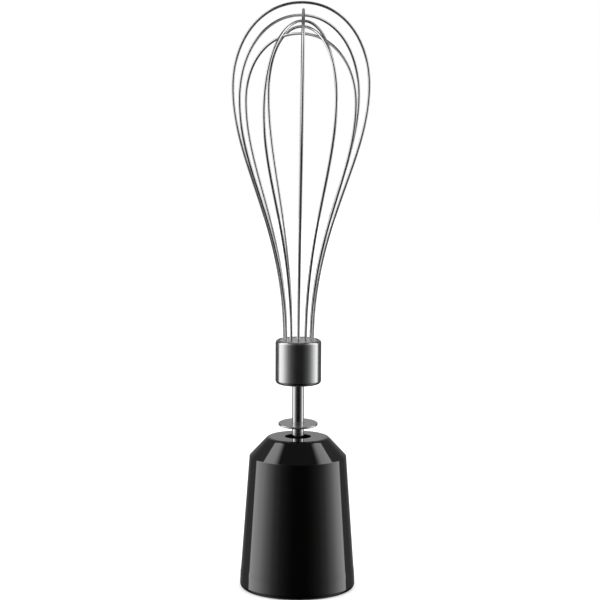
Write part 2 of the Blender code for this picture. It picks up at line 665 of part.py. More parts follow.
def add_splash_disc(parent):
    """Disc with a rounded edge and a short hub, pressed on the shaft above the collar."""
    bore = SHAFT_RADIUS + PRESS_GAP
    foot = DISC_FOOT_Z
    top = foot + DISC_THICKNESS
    edge = 0.5 * MM
    profile = [
        (bore, DISC_HUB_FOOT_Z),
        (DISC_HUB_RADIUS, DISC_HUB_FOOT_Z),
        (DISC_HUB_RADIUS, foot),
        (DISC_RADIUS - edge, foot),
        (DISC_RADIUS, foot + edge),
        (DISC_RADIUS, top - edge),
        (DISC_RADIUS - edge, top),
        (bore, top),
    ]
    disc = turned("splash_disc", profile, OUTER_SEGMENTS)
    add_object("splash_disc", disc, SATIN_STEEL, parent=parent)


def add_ferrule(parent):
    """Steel cup with rounded edges that holds the wires."""
    bore = SHAFT_RADIUS + PRESS_GAP
    inner = FERRULE_RADIUS - FERRULE_WALL
    foot = FERRULE_FOOT_FILLET
    rim = FERRULE_RIM_FILLET
    profile = [(bore, FERRULE_FOOT_Z)]
    profile += arc(FERRULE_RADIUS - foot, FERRULE_FOOT_Z + foot, foot, -90, 0)
    profile += arc(FERRULE_RADIUS - rim, FERRULE_TOP_Z - rim, rim, 0, 90, 2)
    profile += [(inner, FERRULE_TOP_Z), (inner, FERRULE_FOOT_Z + foot),
                (inner - foot + FERRULE_WALL, FERRULE_FOOT_Z + FERRULE_WALL),
                (bore, FERRULE_FOOT_Z + FERRULE_WALL)]
    add_object("ferrule", turned("ferrule", profile, OUTER_SEGMENTS), SATIN_STEEL, parent=parent)


def add_wire_holder(parent):
    """Plug in the ferrule's mouth with twelve blind holes for the wire ends."""
    radius = FERRULE_RADIUS - FERRULE_WALL - GAP
    profile = [(0, HOLDER_FOOT_Z), (radius, HOLDER_FOOT_Z), (radius, HOLDER_TOP_Z),
               (0, HOLDER_TOP_Z)]
    holder = add_object("wire_holder", turned("wire_holder", profile), SATIN_STEEL, parent=parent)
    cut_round(holder, "shaft_end_hole", SHAFT_RADIUS + PRESS_GAP, HOLDER_FOOT_Z - MM,
              HOLDER_CENTRE_HOLE_TOP_Z)
    for index, (azimuth, *_) in enumerate(WIRE_LOOPS):
        for side in range(2):
            angle = math.radians(azimuth) + side * math.pi
            x, y, _ = around(WIRE_CIRCLE, angle)
            cut_round(holder, f"wire_hole_{index + 1}_{side + 1}", WIRE_HOLE, WIRE_END_Z - GAP,
                      HOLDER_TOP_Z + MM, (x, y), WIRE_HOLE_SEGMENTS)


def bezier(points, steps):
    """Points along a cubic curve through four control points, without its first one."""
    a, b, c, d = [Vector(p) for p in points]
    curve = []
    for i in range(1, steps + 1):
        t = i / steps
        s = 1 - t
        curve.append(s ** 3 * a + 3 * s * s * t * b + 3 * s * t * t * c + t ** 3 * d)
    return curve


def half_loop(half_width, widest_z, top_z):
    """(radius, height) of one side of a loop, from its end in the holder up to the top.

    The wire leaves the holder straight, flares out to its widest place, and closes over the
    top in a dome.
    """
    mouth = HOLDER_TOP_Z
    flare = widest_z - mouth
    dome = top_z - widest_z
    points = [Vector((WIRE_CIRCLE, WIRE_END_Z)), Vector((WIRE_CIRCLE, mouth))]
    points += bezier([(WIRE_CIRCLE, mouth), (WIRE_CIRCLE, mouth + FLARE_RISE * flare),
                      (half_width, widest_z - FLARE_SWELL * flare), (half_width, widest_z)],
                     FLARE_STEPS)
    points += bezier([(half_width, widest_z), (half_width, widest_z + DOME_RISE * dome),
                      (DOME_SPREAD * half_width, top_z), (0, top_z)], DOME_STEPS)
    return points


def add_wire_loops(parent):
    """Six nested loops of spring wire, each in its own plane through the axis."""
    for index, (azimuth, half_width, widest_z, top_z) in enumerate(WIRE_LOOPS):
        side = half_loop(half_width, widest_z, top_z)
        path = [(r, z) for r, z in side] + [(-r, z) for r, z in reversed(side[:-1])]
        name = f"wire_loop_{index + 1}"
        curve = bpy.data.curves.new(name, "CURVE")
        curve.dimensions = "3D"
        curve.bevel_depth = WIRE_RADIUS
        curve.bevel_resolution = WIRE_BEVEL_RESOLUTION
        curve.use_fill_caps = True
        spline = curve.splines.new("POLY")
        spline.points.add(len(path) - 1)
        for point, (r, z) in zip(spline.points, path):
            point.co = (r, 0, z, 1)
        add_object(name, curve, POLISHED_STEEL, parent=parent, turn=math.radians(azimuth))


def main():
    """Build the attachment, group by group."""
    clear_scene()
    housing = add_empty("housing")
    add_outer_sleeve(housing)
    add_gear_case(housing)
    add_base_cover(housing)
    add_ring_gear(housing)
    add_bushes(housing)
    add_washer_and_seal(housing)
    add_case_screws(housing)
    sun_axis = add_empty("sun_axis", parent=housing)
    add_sun_gear(sun_axis)
    add_drive_coupling(sun_axis)
    carrier_axis = add_empty("carrier_axis", parent=housing)
    add_planet_carrier(carrier_axis)
    add_carrier_plate(carrier_axis)
    add_planet_pins(carrier_axis)
    add_retaining_clip(carrier_axis)
    add_planet_gears(carrier_axis)
    whisk = add_empty("whisk", parent=carrier_axis)
    add_drive_shaft(whisk)
    add_splash_disc(whisk)
    add_ferrule(whisk)
    add_wire_holder(whisk)
    add_wire_loops(whisk)


main()
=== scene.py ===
"""Looks of a hand blender's whisk attachment: collar, socket, shaft, ferrule and wire balloon.

Laid out as a Blender add-on and run as a script. Each new piece is a surface over two
parameters, one along an outline or a path and one round it, worked out as whole numpy arrays
in metres in the frame of the CAD model. The gears, bushes and other inner nodes of the CAD
model stay as they are, with the finishes of their real materials.
"""

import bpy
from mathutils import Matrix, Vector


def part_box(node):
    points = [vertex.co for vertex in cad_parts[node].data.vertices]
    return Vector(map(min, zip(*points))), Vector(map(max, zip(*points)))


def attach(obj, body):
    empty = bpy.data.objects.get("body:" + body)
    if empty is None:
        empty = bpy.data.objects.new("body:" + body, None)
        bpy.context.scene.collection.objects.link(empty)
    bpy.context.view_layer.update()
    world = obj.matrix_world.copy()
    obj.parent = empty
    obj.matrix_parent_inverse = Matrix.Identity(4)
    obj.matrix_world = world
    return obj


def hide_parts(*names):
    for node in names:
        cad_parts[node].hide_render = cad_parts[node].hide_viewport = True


bl_info = {
    "name": "Whisk attachment",
    "version": (1, 0, 0),
    "blender": (4, 5, 0),
    "location": "View3D > Sidebar > Whisk",
    "description": "Builds the visible pieces of a geared whisk attachment and its studio",
    "category": "Add Mesh",
}

import math

import bpy
import numpy as np
from bpy.props import FloatProperty, FloatVectorProperty, PointerProperty
from mathutils import Matrix

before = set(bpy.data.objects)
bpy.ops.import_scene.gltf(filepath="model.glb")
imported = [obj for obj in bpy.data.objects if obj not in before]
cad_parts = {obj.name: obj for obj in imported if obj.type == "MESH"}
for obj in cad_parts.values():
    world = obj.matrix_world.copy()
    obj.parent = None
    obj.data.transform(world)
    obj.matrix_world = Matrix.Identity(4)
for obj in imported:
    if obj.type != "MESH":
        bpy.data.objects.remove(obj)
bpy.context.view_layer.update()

MM = 0.001
TURN = math.tau

# Fineness of the surfaces
COLLAR_SIDES = 192
FINE_SIDES = 144
SMALL_SIDES = 96
WIRE_SIDES = 16
ARC_STEP = math.radians(14)  # largest turn between two points of a fillet
GUARD = 0.14 * MM            # distance of the extra ring beside a fillet
SHARP = math.radians(42)     # corners that turn more than this stay crisp

# Collar: heights, and radii that the CAD box does not give
BASE_FILLET = 1.8 * MM
CROWN_FILLET = 2.6 * MM
RIM_RADIUS = 23.15 * MM
LIP_TOP = (26.08 * MM, 7.5 * MM)
TAPER_FOOT = (25.82 * MM, 9.4 * MM)
SHOULDER = (22.1 * MM, 61.1 * MM)
CROWN_RADIUS = 13.8 * MM
CROWN_HOLE = 5.9 * MM
CROWN_UNDERSIDE = 67.2 * MM
SLEEVE_WALL = 2.25 * MM
SOCKET_RADIUS = 22.75 * MM
SOCKET_TOP = 25.2 * MM
SNAP_HEIGHT = 12.75 * MM
SNAP_DEPTH = 0.5 * MM
EDGE = 0.4 * MM

# Handle socket
COVER_BORE = 20.6 * MM
COVER_FLOOR = 22.0 * MM
COVER_HOLE = 5.0 * MM
LUG_REACH = 18.9 * MM
LUG_FOOT = 3.5 * MM
LUG_TOP = 6.0 * MM
LUG_SWEEP = math.radians(26)
SCREW_CIRCLE = 15.8 * MM
SCREW_ANGLES = [math.radians(a) for a in (30, 150, 270)]

# Case screws
SCREW_HEAD = 2.9 * MM
SCREW_SHANK = 1.5 * MM
HEAD_HEIGHT = 2.2 * MM
RECESS_HALF_LENGTH = 1.4 * MM
RECESS_HALF_WIDTH = 0.35 * MM
RECESS_DEPTH = 1.2 * MM
THREAD_PITCH = 1.1 * MM
THREAD_DEPTH = 0.22 * MM
THREAD_RINGS = 120

# Spindle coupling
SPLINE_RADIUS = 3.9 * MM
SPLINE_WAVE = 0.5 * MM
SPLINE_LOBES = 6
SPLINE_DEPTH = 6.2 * MM
STEM_HOLE = 2.3 * MM
STEM_FOOT = 14.2 * MM

# Shaft and splash plate
HEX_FLATS = 4.4 * MM
HEX_TOP = 62.2 * MM
GROOVE_RADIUS = 1.7 * MM
GROOVE_MIDDLE = 56.9 * MM
GROOVE_HEIGHT = 1.6 * MM
BORE = 2.8 * MM
PLATE_HUB = 3.3 * MM
PLATE_THICKNESS = 0.9 * MM
PLATE_EDGE = 0.3 * MM
PLATE_TILT = math.radians(3)  # pressed on a little askew, its front edge low

# Ferrule and wire plug
FERRULE_WALL = 1.5 * MM
FERRULE_FOOT_FILLET = 1.6 * MM
FERRULE_RIM_FILLET = 1.35 * MM
PLUG_HOLE_DEPTH = 1.4 * MM
PLUG_HOLE_RADIUS = 0.95 * MM
SHAFT_END_HOLE_TOP = 108.0 * MM

# Wires: the circle they stand on, their hidden ends and the mouth that they leave. Each side
# of a loop is a straight root, a swell and half a dome, with steps of their own
WIRE_CIRCLE = 6.5 * MM
WIRE_END = 104.0 * MM
WIRE_MOUTH = 114.3 * MM
FLARE_RISE = 0.468
FLARE_SWELL = 0.298
DOME_RISE = 0.571
DOME_SPREAD = 0.593
ROOT_STEPS = 14
SWELL_STEPS = 130
DOME_STEPS = 90
LEAN_POWER = 1.3  # the lean grows with this power of the height over the mouth
# Loops, laid by hand and so never quite upright: azimuth in degrees, half width, height of
# the widest place, height of the top, and how far the top stands off to the right
WIRE_LOOPS = [
    (0.8, 30.4 * MM, 229.0 * MM, 266.1 * MM, 0.9 * MM),
    (90.4, 30.6 * MM, 225.0 * MM, 263.0 * MM, 1.5 * MM),
    (30.8, 31.0 * MM, 224.0 * MM, 260.5 * MM, 0.3 * MM),
    (59.8, 32.2 * MM, 220.0 * MM, 258.0 * MM, 1.0 * MM),
    (-59.2, 29.6 * MM, 225.5 * MM, 255.5 * MM, 1.2 * MM),
    (-30.2, 28.4 * MM, 222.0 * MM, 252.4 * MM, 0.3 * MM),
]

# Studio
CAMERA_PLACE = (0.0, -1.0, 0.276)
CAMERA_PITCH = math.radians(8.153)
CAMERA_YAW = math.radians(-0.0348)
CAMERA_ROLL = math.radians(0.30)
CAMERA_LENS = 134.1
CAMERA_SENSOR = 36.0
FLOOR_RADIUS = 1.6
FLOOR_DEPTH = 2 * MM
WALL_LIGHT = 1.15
BACKDROP_LIGHT = 1.0
# The two softboxes grow brighter from their near edge to their far one. Degrees from the
# darkest place, which is a little right of the camera, with the brightness there
GRADE_TURN = math.radians(-5)
SOFTBOX_GRADE = [(0, 0.004), (15, 0.007), (28, 0.034), (42, 0.09), (57, 0.25), (73, 0.68),
                 (90, 1.3), (105, 1.5)]
# The boxes end here, in degrees either side of the camera
SOFTBOX_END = [(113.5, 1.0), (115.0, 0.0)]
# Behind them a grey sweep of paper stands round the object
PAPER = [(113.5, 0.0), (115.0, 0.14), (140, 0.08), (160, 0.13), (180, 0.30)]
# Brightness of all of it from straight down (-90) to straight up (90 degrees)
SOFTBOX_UP = [(-90, 0.22), (-18, 0.22), (-13.5, 1.0), (-4, 1.0), (10, 1.2), (56, 1.2),
              (62, 0.0)]
# A dim ceiling over the boxes
OVERHEAD = [(50, 0.0), (64, 0.06)]

# ---------------------------------------------------------------- colours and nodes

def linear(hex_colour):
    """Linear RGB of an sRGB hex colour."""
    channels = [int(hex_colour[i:i + 2], 16) / 255 for i in (1, 3, 5)]
    return tuple(c / 12.92 if c <= 0.04045 else ((c + 0.055) / 1.055) ** 2.4 for c in channels)


def add_node(tree, kind, links=None, values=None, stops=None, **settings):
    """Add a node: settings are its own properties, values and links go to its inputs by name
    or number, and stops are the (place, grey or colour) pairs of its ramp."""
    node = tree.nodes.new(kind)
    for key, value in settings.items():
        setattr(node, key, value)
    for key, value in (values or {}).items():
        node.inputs[key].default_value = value
    for key, socket in (links or {}).items():
        tree.links.new(socket, node.inputs[key])
    for number, (place, value) in enumerate(stops or []):
        elements = node.color_ramp.elements
        stop = elements[number] if number < 2 else elements.new(place)
        stop.position = place
        stop.color = (*(value if isinstance(value, tuple) else (value,) * 3), 1.0)
    return node


def new_material(name, colour, roughness, metallic=0.0, **shader_values):
    """A material whose Principled shader has these constant values; returns it and its tree."""
    material = bpy.data.materials.new(name)
    material.use_nodes = True
    shader = material.node_tree.nodes["Principled BSDF"]
    shader.inputs["Base Color"].default_value = (*colour, 1.0)
    shader.inputs["Roughness"].default_value = roughness
    shader.inputs["Metallic"].default_value = metallic
    for key, value in shader_values.items():
        shader.inputs[key.replace("_", " ")].default_value = value
    return material, material.node_tree, shader


def per(size):
    """Noise scale whose grain is about this long, in metres."""
    return 1.0 / size


def object_noise(tree, size, stretch=(1.0, 1.0, 1.0), detail=3.0, spread=0.5):
    """Noise on Object coordinates with grain of a real size, longer along stretched axes."""
    coordinates = add_node(tree, "ShaderNodeTexCoord")
    scaled = add_node(tree, "ShaderNodeMapping", {"Vector": coordinates.outputs["Object"]},
                      {"Scale": tuple(per(size) / s for s in stretch)})
    return add_node(tree, "ShaderNodeTexNoise", {"Vector": scaled.outputs["Vector"]},
                    {"Scale": 1.0, "Detail": detail, "Roughness": spread})


def ranged(tree, socket, low, high, start=0.3, end=0.7):
    """A noise value spread over a range of roughness or shade."""
    return add_node(tree, "ShaderNodeMapRange", {"Value": socket},
                    {"From Min": start, "From Max": end, "To Min": low, "To Max": high})


def bumped(tree, shader, socket, depth, below=None):
    """Bump of a real depth in metres, over another bump if one is given."""
    links = {"Height": socket}
    if below:
        links["Normal"] = below.outputs["Normal"]
    bump = add_node(tree, "ShaderNodeBump", links, {"Strength": 1.0, "Distance": depth})
    tree.links.new(bump.outputs["Normal"], shader.inputs["Normal"])
    return bump


def round_lines(tree, along, around, detail=2.0):
    """Noise drawn out round the piece, from its own UV map: U is one turn, V is in millimetres.

    The turn is wrapped on a circle, so that the lines close on themselves. along is their
    spacing up the outline and around their length as a share of a turn.
    """
    surface = add_node(tree, "ShaderNodeUVMap", uv_map="Surface")
    parts = add_node(tree, "ShaderNodeSeparateXYZ", {"Vector": surface.outputs["UV"]})
    angle = add_node(tree, "ShaderNodeMath", {0: parts.outputs["X"]}, {1: TURN},
                     operation="MULTIPLY")
    cosine = add_node(tree, "ShaderNodeMath", {0: angle.outputs[0]}, operation="COSINE")
    sine = add_node(tree, "ShaderNodeMath", {0: angle.outputs[0]}, operation="SINE")
    circle = add_node(tree, "ShaderNodeCombineXYZ",
                      {"X": cosine.outputs[0], "Y": sine.outputs[0], "Z": parts.outputs["Y"]})
    scaled = add_node(tree, "ShaderNodeMapping", {"Vector": circle.outputs["Vector"]},
                      {"Scale": (1 / (TURN * around), 1 / (TURN * around), 1 / along)})
    return add_node(tree, "ShaderNodeTexNoise", {"Vector": scaled.outputs["Vector"]},
                    {"Scale": 1.0, "Detail": detail, "Roughness": 0.55})


# ---------------------------------------------------------------- finishes

def mirror_moulded_abs(look):
    """Black ABS from a mirror-polished tool, lacquered. A deep gloss whose reflections stay
    crisp and waver a little with orange peel, and a rim dulled by standing on it."""
    material, tree, shader = new_material("mirror_moulded_abs", look.shell_colour, 0.05,
                                          IOR=1.6, Coat_Weight=1.0, Coat_Roughness=0.03,
                                          Coat_IOR=1.5)
    handled = object_noise(tree, 14 * MM, detail=4.0)
    gloss = ranged(tree, handled.outputs["Fac"], 0.035, 0.075)
    place = add_node(tree, "ShaderNodeSeparateXYZ",
                     {"Vector": add_node(tree, "ShaderNodeTexCoord").outputs["Object"]})
    worn = add_node(tree, "ShaderNodeMapRange", {"Value": place.outputs["Z"]},
                    {"From Min": 0.0, "From Max": 0.5 * MM, "To Min": 0.35, "To Max": 0.0})
    scuffs = object_noise(tree, 0.9 * MM, detail=5.0, spread=0.7)
    rim = add_node(tree, "ShaderNodeMath", {0: worn.outputs[0], 1: scuffs.outputs["Fac"]},
                   operation="MULTIPLY")
    rough = add_node(tree, "ShaderNodeMath", {0: gloss.outputs[0], 1: rim.outputs[0]},
                     operation="ADD")
    tree.links.new(rough.outputs[0], shader.inputs["Roughness"])
    # Real orange peel is 1 to 3 mm from crest to crest and a few micrometres deep
    peel = object_noise(tree, 2.4 * MM, detail=1.0)
    bumped(tree, shader, peel.outputs["Fac"], 0.004 * MM)
    return material


def spark_textured_nylon(look):
    """Black glass-filled nylon from a spark-eroded tool. A fine matt grain that scatters a
    dull grey sheen, with glass fibre ends showing as slightly paler flecks."""
    material, tree, shader = new_material("spark_textured_nylon", look.moulding_colour, 0.5,
                                          IOR=1.53)
    grain = object_noise(tree, 0.35 * MM, detail=4.0, spread=0.6)
    flow = object_noise(tree, 5 * MM, stretch=(1, 1, 3), detail=2.0)
    rough = ranged(tree, flow.outputs["Fac"], 0.42, 0.58)
    tree.links.new(rough.outputs[0], shader.inputs["Roughness"])
    shade = add_node(tree, "ShaderNodeValToRGB", {"Fac": grain.outputs["Fac"]},
                     stops=[(0.35, tuple(look.moulding_colour)),
                            (0.8, tuple(c * 2.6 for c in look.moulding_colour))])
    tree.links.new(shade.outputs["Color"], shader.inputs["Base Color"])
    bumped(tree, shader, grain.outputs["Fac"], 0.03 * MM)
    return material


def natural_nylon(look):
    """Natural nylon, machined and greased. A warm white that light enters a little, with
    cloudy grease making it shinier in patches."""
    material, tree, shader = new_material("natural_nylon", look.nylon_colour, 0.4, IOR=1.53,
                                          Subsurface_Weight=0.12,
                                          Subsurface_Radius=(0.0012, 0.0010, 0.0008),
                                          Subsurface_Scale=1.0)
    grease = object_noise(tree, 3 * MM, detail=3.0)
    rough = ranged(tree, grease.outputs["Fac"], 0.22, 0.5)
    tree.links.new(rough.outputs[0], shader.inputs["Roughness"])
    tint = add_node(tree, "ShaderNodeValToRGB", {"Fac": grease.outputs["Fac"]},
                    stops=[(0.3, tuple(c * 0.9 for c in look.nylon_colour)),
                           (0.7, tuple(look.nylon_colour))])
    tree.links.new(tint.outputs["Color"], shader.inputs["Base Color"])
    fine = object_noise(tree, 0.5 * MM, detail=2.0)
    bumped(tree, shader, fine.outputs["Fac"], 0.008 * MM)
    return material


def black_nitrile_rubber(look):
    """Nitrile lip seal, pressed in a blasted mould. A soft charcoal with no clear reflection
    and a faint bloom of wax."""
    material, tree, shader = new_material("black_nitrile_rubber", linear("#1B1B1C"), 0.7,
                                          Sheen_Weight=0.15, Sheen_Roughness=0.5)
    bloom = object_noise(tree, 2 * MM, detail=4.0)
    shade = add_node(tree, "ShaderNodeValToRGB", {"Fac": bloom.outputs["Fac"]},
                     stops=[(0.4, linear("#161617")), (0.75, linear("#2A2A2C"))])
    tree.links.new(shade.outputs["Color"], shader.inputs["Base Color"])
    rough = ranged(tree, bloom.outputs["Fac"], 0.6, 0.8)
    tree.links.new(rough.outputs[0], shader.inputs["Roughness"])
    return material


def steel(name, colour, smooth, dull, grain, depth, lines=None):
    """Stainless steel whose roughness runs from smooth to dull and whose colour follows it a
    little. lines are (spacing in millimetres, length in turns) of marks round the piece."""
    material, tree, shader = new_material(name, colour, smooth, metallic=1.0)
    if lines:
        marks = round_lines(tree, *lines)
    else:
        marks = object_noise(tree, grain, detail=4.0)
    clouds = object_noise(tree, 6 * MM, detail=2.0)
    mixed = add_node(tree, "ShaderNodeMath",
                     {0: marks.outputs["Fac"], 1: clouds.outputs["Fac"]}, {2: 0.0},
                     operation="ADD")
    rough = ranged(tree, mixed.outputs[0], smooth, dull, 0.7, 1.3)
    tree.links.new(rough.outputs[0], shader.inputs["Roughness"])
    shade = add_node(tree, "ShaderNodeValToRGB", {"Fac": marks.outputs["Fac"]},
                     stops=[(0.3, tuple(c * 0.94 for c in colour)), (0.7, tuple(colour))])
    tree.links.new(shade.outputs["Color"], shader.inputs["Base Color"])
    bumped(tree, shader, marks.outputs["Fac"], depth)
    return material


def sintered_bronze(look):
    """Bush pressed from bronze powder and filled with oil. A brown matt metal whose open
    pores are painted as dark specks: painted shade in their pits, which the bump dents only a
    little."""
    material, tree, shader = new_material("sintered_bronze", linear("#A98252"), 0.42,
                                          metallic=1.0)
    coordinates = add_node(tree, "ShaderNodeTexCoord")
    pores = add_node(tree, "ShaderNodeTexVoronoi", {"Vector": coordinates.outputs["Object"]},
                     {"Scale": per(0.3 * MM)})
    # Painted shade: the colour turns dark brown in each pore's pit, where shade would fall.
    shade = add_node(tree, "ShaderNodeValToRGB", {"Fac": pores.outputs["Distance"]},
                     stops=[(0.12, linear("#4A3520")), (0.3, linear("#A98252"))])
    tree.links.new(shade.outputs["Color"], shader.inputs["Base Color"])
    rough = ranged(tree, pores.outputs["Distance"], 0.6, 0.38, 0.1, 0.6)
    tree.links.new(rough.outputs[0], shader.inputs["Roughness"])
    bumped(tree, shader, pores.outputs["Distance"], 0.02 * MM)
    return material


def light_table(look):
    """Opal acrylic floor, lit a little from below, so that hardly a shadow shows on it."""
    material, tree, shader = new_material("light_table", look.floor_colour, 0.6, IOR=1.49,
                                          Emission_Color=(1.0, 1.0, 1.0, 1.0),
                                          Emission_Strength=0.35)
    flecks = object_noise(tree, 4 * MM, detail=2.0)
    rough = ranged(tree, flecks.outputs["Fac"], 0.55, 0.65)
    tree.links.new(rough.outputs[0], shader.inputs["Roughness"])
    return material


def finish(name):
    """The material of this name, made the first time that it is asked for."""
    if name in bpy.data.materials:
        return bpy.data.materials[name]
    look = bpy.context.scene.whisk_finishes
    made = {
        "mirror_moulded_abs": mirror_moulded_abs,
        "spark_textured_nylon": spark_textured_nylon,
        "natural_nylon": natural_nylon,
        "black_nitrile_rubber": black_nitrile_rubber,
        "sintered_bronze": sintered_bronze,
        "light_table": light_table,
    }
    if name in made:
        return made[name](look)
    bright = tuple(look.steel_colour)
    steels = {
        # Rod ground between wheels: bright, with fine marks straight round it. The real marks
        # are some 0.02 mm apart, drawn coarser so that they show
        "ground_rod_steel": (bright, 0.09, 0.16, None, 0.0006 * MM, (0.12, 0.3)),
        # Disc turned from bar and left satin from the tool: dull, marked in circles
        "satin_turned_steel": (linear("#D2D2D3"), 0.22, 0.32, None, 0.002 * MM, (0.15, 0.2)),
        # Cup turned from bar, wall polished on a mop: soft bright bands
        "mop_polished_steel": (linear("#D0D0D1"), 0.16, 0.21, None, 0.0012 * MM, (0.35, 0.12)),
        # Plug faced on a lathe: satin rings
        "faced_plug_steel": (linear("#F0F0F0"), 0.27, 0.36, None, 0.003 * MM, (0.18, 0.25)),
        # Hard-drawn spring wire, electropolished: bright, with the die's long faint streaks
        "drawn_spring_wire": (linear("#EDEDED"), 0.12, 0.22, None, 0.0008 * MM, (6.0, 0.06)),
        # Washers, pins and clip, tumbled bright
        "tumbled_steel": (bright, 0.10, 0.20, 0.8 * MM, 0.001 * MM, None),
        # Machined and zinc-plated: bluish white, slightly milky
        "zinc_plated_steel": (linear("#B4B8BC"), 0.24, 0.42, 0.6 * MM, 0.004 * MM, None),
    }
    return steel(name, *steels[name])


# ---------------------------------------------------------------- surfaces

def rounded(corners):
    """Closed or open outline through (radius, height, fillet) corners, as (radius, height).

    A corner with a fillet becomes the arc that touches both its sides: it turns by the
    outside angle about a centre on the bisector, at fillet over the sine of half the inside
    angle. A ring is added just before and after each arc, so that shading stays level on the
    flat sides.
    """
    points = np.array([(r, z) for r, z, _ in corners], float)
    outline = []
    for number, here in enumerate(points):
        fillet = corners[number][2]
        if not fillet:
            outline.append(here[None])
            continue
        before = points[number - 1] - here
        after = points[(number + 1) % len(points)] - here
        far_before, far_after = np.linalg.norm(before), np.linalg.norm(after)
        before, after = before / far_before, after / far_after
        half = math.acos(np.clip(before @ after, -1, 1)) / 2
        reach = fillet / math.tan(half)
        bisector = (before + after) / np.linalg.norm(before + after)
        centre = here + bisector * fillet / math.sin(half)
        first, last = here + reach * before - centre, here + reach * after - centre
        turn = math.pi - 2 * half
        t = np.linspace(0, 1, max(3, math.ceil(turn / ARC_STEP)) + 1)[:, None]
        arc = centre + (np.sin((1 - t) * turn) * first + np.sin(t * turn) * last) / math.sin(turn)
        guards = [min(GUARD, 0.15 * (far - reach)) for far in (far_before, far_after)]
        outline += [(here + (reach + guards[0]) * before)[None], arc,
                    (here + (reach + guards[1]) * after)[None]]
    return np.concatenate(outline)


def ring_surface(name, rings, closed):
    """Object from rings[i, j], the point at place i along the outline and j round the piece.

    Neighbouring rings are joined by quads. A closed outline joins its last ring to its first,
    and an open one draws each end ring in to one point. The faces are turned outwards by the
    sign of the volume, which is the sum over triangles of a . (b x c) / 6. The UV map has
    turns in U and millimetres along the outline in V.
    """
    count, sides = rings.shape[:2]
    index = np.arange(count * sides).reshape(count, sides)
    beside = np.roll(index, -1, 1)
    step = np.linalg.norm(np.roll(rings[:, 0], -1, 0) - rings[:, 0], axis=1) / MM
    length = np.concatenate([[0.0], np.cumsum(step)])
    column = np.arange(sides) / sides
    lower = np.arange(count) if closed else np.arange(1, count - 2)
    upper = (lower + 1) % count
    quads = np.stack([index[lower], beside[lower], beside[upper], index[upper]], -1)
    quads = quads.reshape(-1, 4)
    u = np.broadcast_to(column, (len(lower), sides))
    foot = np.broadcast_to(length[lower][:, None], u.shape)
    head = np.broadcast_to(length[lower + 1][:, None], u.shape)
    quad_uv = np.stack([u, foot, u + 1 / sides, foot, u + 1 / sides, head, u, head], -1)
    quad_uv = quad_uv.reshape(-1, 4, 2)
    points = rings.reshape(-1, 3)
    fans = np.zeros((0, 3), int)
    fan_uv = np.zeros((0, 3, 2))
    if not closed:
        poles = np.stack([rings[0].mean(0), rings[-1].mean(0)])
        first, last = count * sides, count * sides + 1
        points = np.concatenate([points, poles])
        top, top_length = count - 2, length[count - 1]
        fans = np.concatenate([
            np.stack([np.full(sides, first), beside[1], index[1]], -1),
            np.stack([index[top], beside[top], np.full(sides, last)], -1)])
        middle = column + 0.5 / sides
        foot_uv = [middle, 0 * u[0], column + 1 / sides, u[0] * 0 + length[1],
                   column, u[0] * 0 + length[1]]
        head_uv = [column, u[0] * 0 + length[top], column + 1 / sides,
                   u[0] * 0 + length[top], middle, u[0] * 0 + top_length]
        fan_uv = np.concatenate([np.stack(foot_uv, -1), np.stack(head_uv, -1)])
        fan_uv = fan_uv.reshape(-1, 3, 2)
        used = np.concatenate([np.arange(sides, (count - 1) * sides), [first, last]])
        renumber = np.zeros(len(points), int)
        renumber[used] = np.arange(len(used))
        points, quads, fans = points[used], renumber[quads], renumber[fans]
    triangles = np.concatenate([quads[:, :3], quads[:, [0, 2, 3]], fans])
    a, b, c = (points[triangles[:, k]] for k in range(3))
    if np.einsum("ij,ij->", a, np.cross(b, c)) < 0:
        quads, fans = quads[:, ::-1], fans[:, ::-1]
        quad_uv, fan_uv = quad_uv[:, ::-1], fan_uv[:, ::-1]
    mesh = bpy.data.meshes.new(name)
    mesh.from_pydata(points.tolist(), [], quads.tolist() + fans.tolist())
    uv = np.concatenate([quad_uv.reshape(-1), fan_uv.reshape(-1)]).astype(np.float32)
    mesh.uv_layers.new(name="Surface").data.foreach_set("uv", uv)
    mesh.shade_smooth()
    mesh.set_sharp_from_angle(angle=SHARP)
    obj = bpy.data.objects.new(name, mesh)
    bpy.context.scene.collection.objects.link(obj)
    return obj


def turned(name, outline, sides, closed=True, shape=None, centre=(0.0, 0.0)):
    """Outline carried round an upright axis: (r cos a + x, r sin a + y, z). shape, where
    given, takes the arrays of radius, height and angle and returns new radii and heights."""
    angle = np.arange(sides) * TURN / sides
    radius = np.repeat(outline[:, :1], sides, 1)
    height = np.repeat(outline[:, 1:], sides, 1)
    if shape:
        radius, height = shape(radius, height, angle)
    rings = np.stack([radius * np.cos(angle) + centre[0], radius * np.sin(angle) + centre[1],
                      height], -1)
    return ring_surface(name, rings, closed)


def cubic(a, b, c, d, steps):
    """Points of a cubic curve: each control point weighted by its term of (s + t) cubed,
    where s is 1 - t."""
    t = np.linspace(0, 1, steps + 1)[:, None]
    s = 1 - t
    a, b, c, d = (np.array(p, float) for p in (a, b, c, d))
    return s ** 3 * a + 3 * s * s * t * b + 3 * s * t * t * c + t ** 3 * d


def swept_wire(name, path, side, radius):
    """Round wire along a plane path: each ring lies across the path's direction, spanned by
    the plane's own normal and the cross product of the two."""
    along = np.gradient(path, axis=0)
    along /= np.linalg.norm(along, axis=1, keepdims=True)
    across = np.cross(along, side)
    angle = (np.arange(WIRE_SIDES) * TURN / WIRE_SIDES)[None, :, None]
    reach = np.full(len(path), radius)
    ends = [0, 0, *range(len(path)), -1, -1]
    ring_radius = np.concatenate([[0.0, 0.9 * radius], reach, [0.9 * radius, 0.0]])
    shift = np.zeros(len(ends))
    shift[2], shift[-3] = 0.1 * radius, -0.1 * radius
    centre = path[ends] + shift[:, None] * along[ends]
    rings = centre[:, None] + ring_radius[:, None, None] * (
        np.cos(angle) * np.array(side) + np.sin(angle) * across[ends][:, None])
    return ring_surface(name, rings, closed=False)


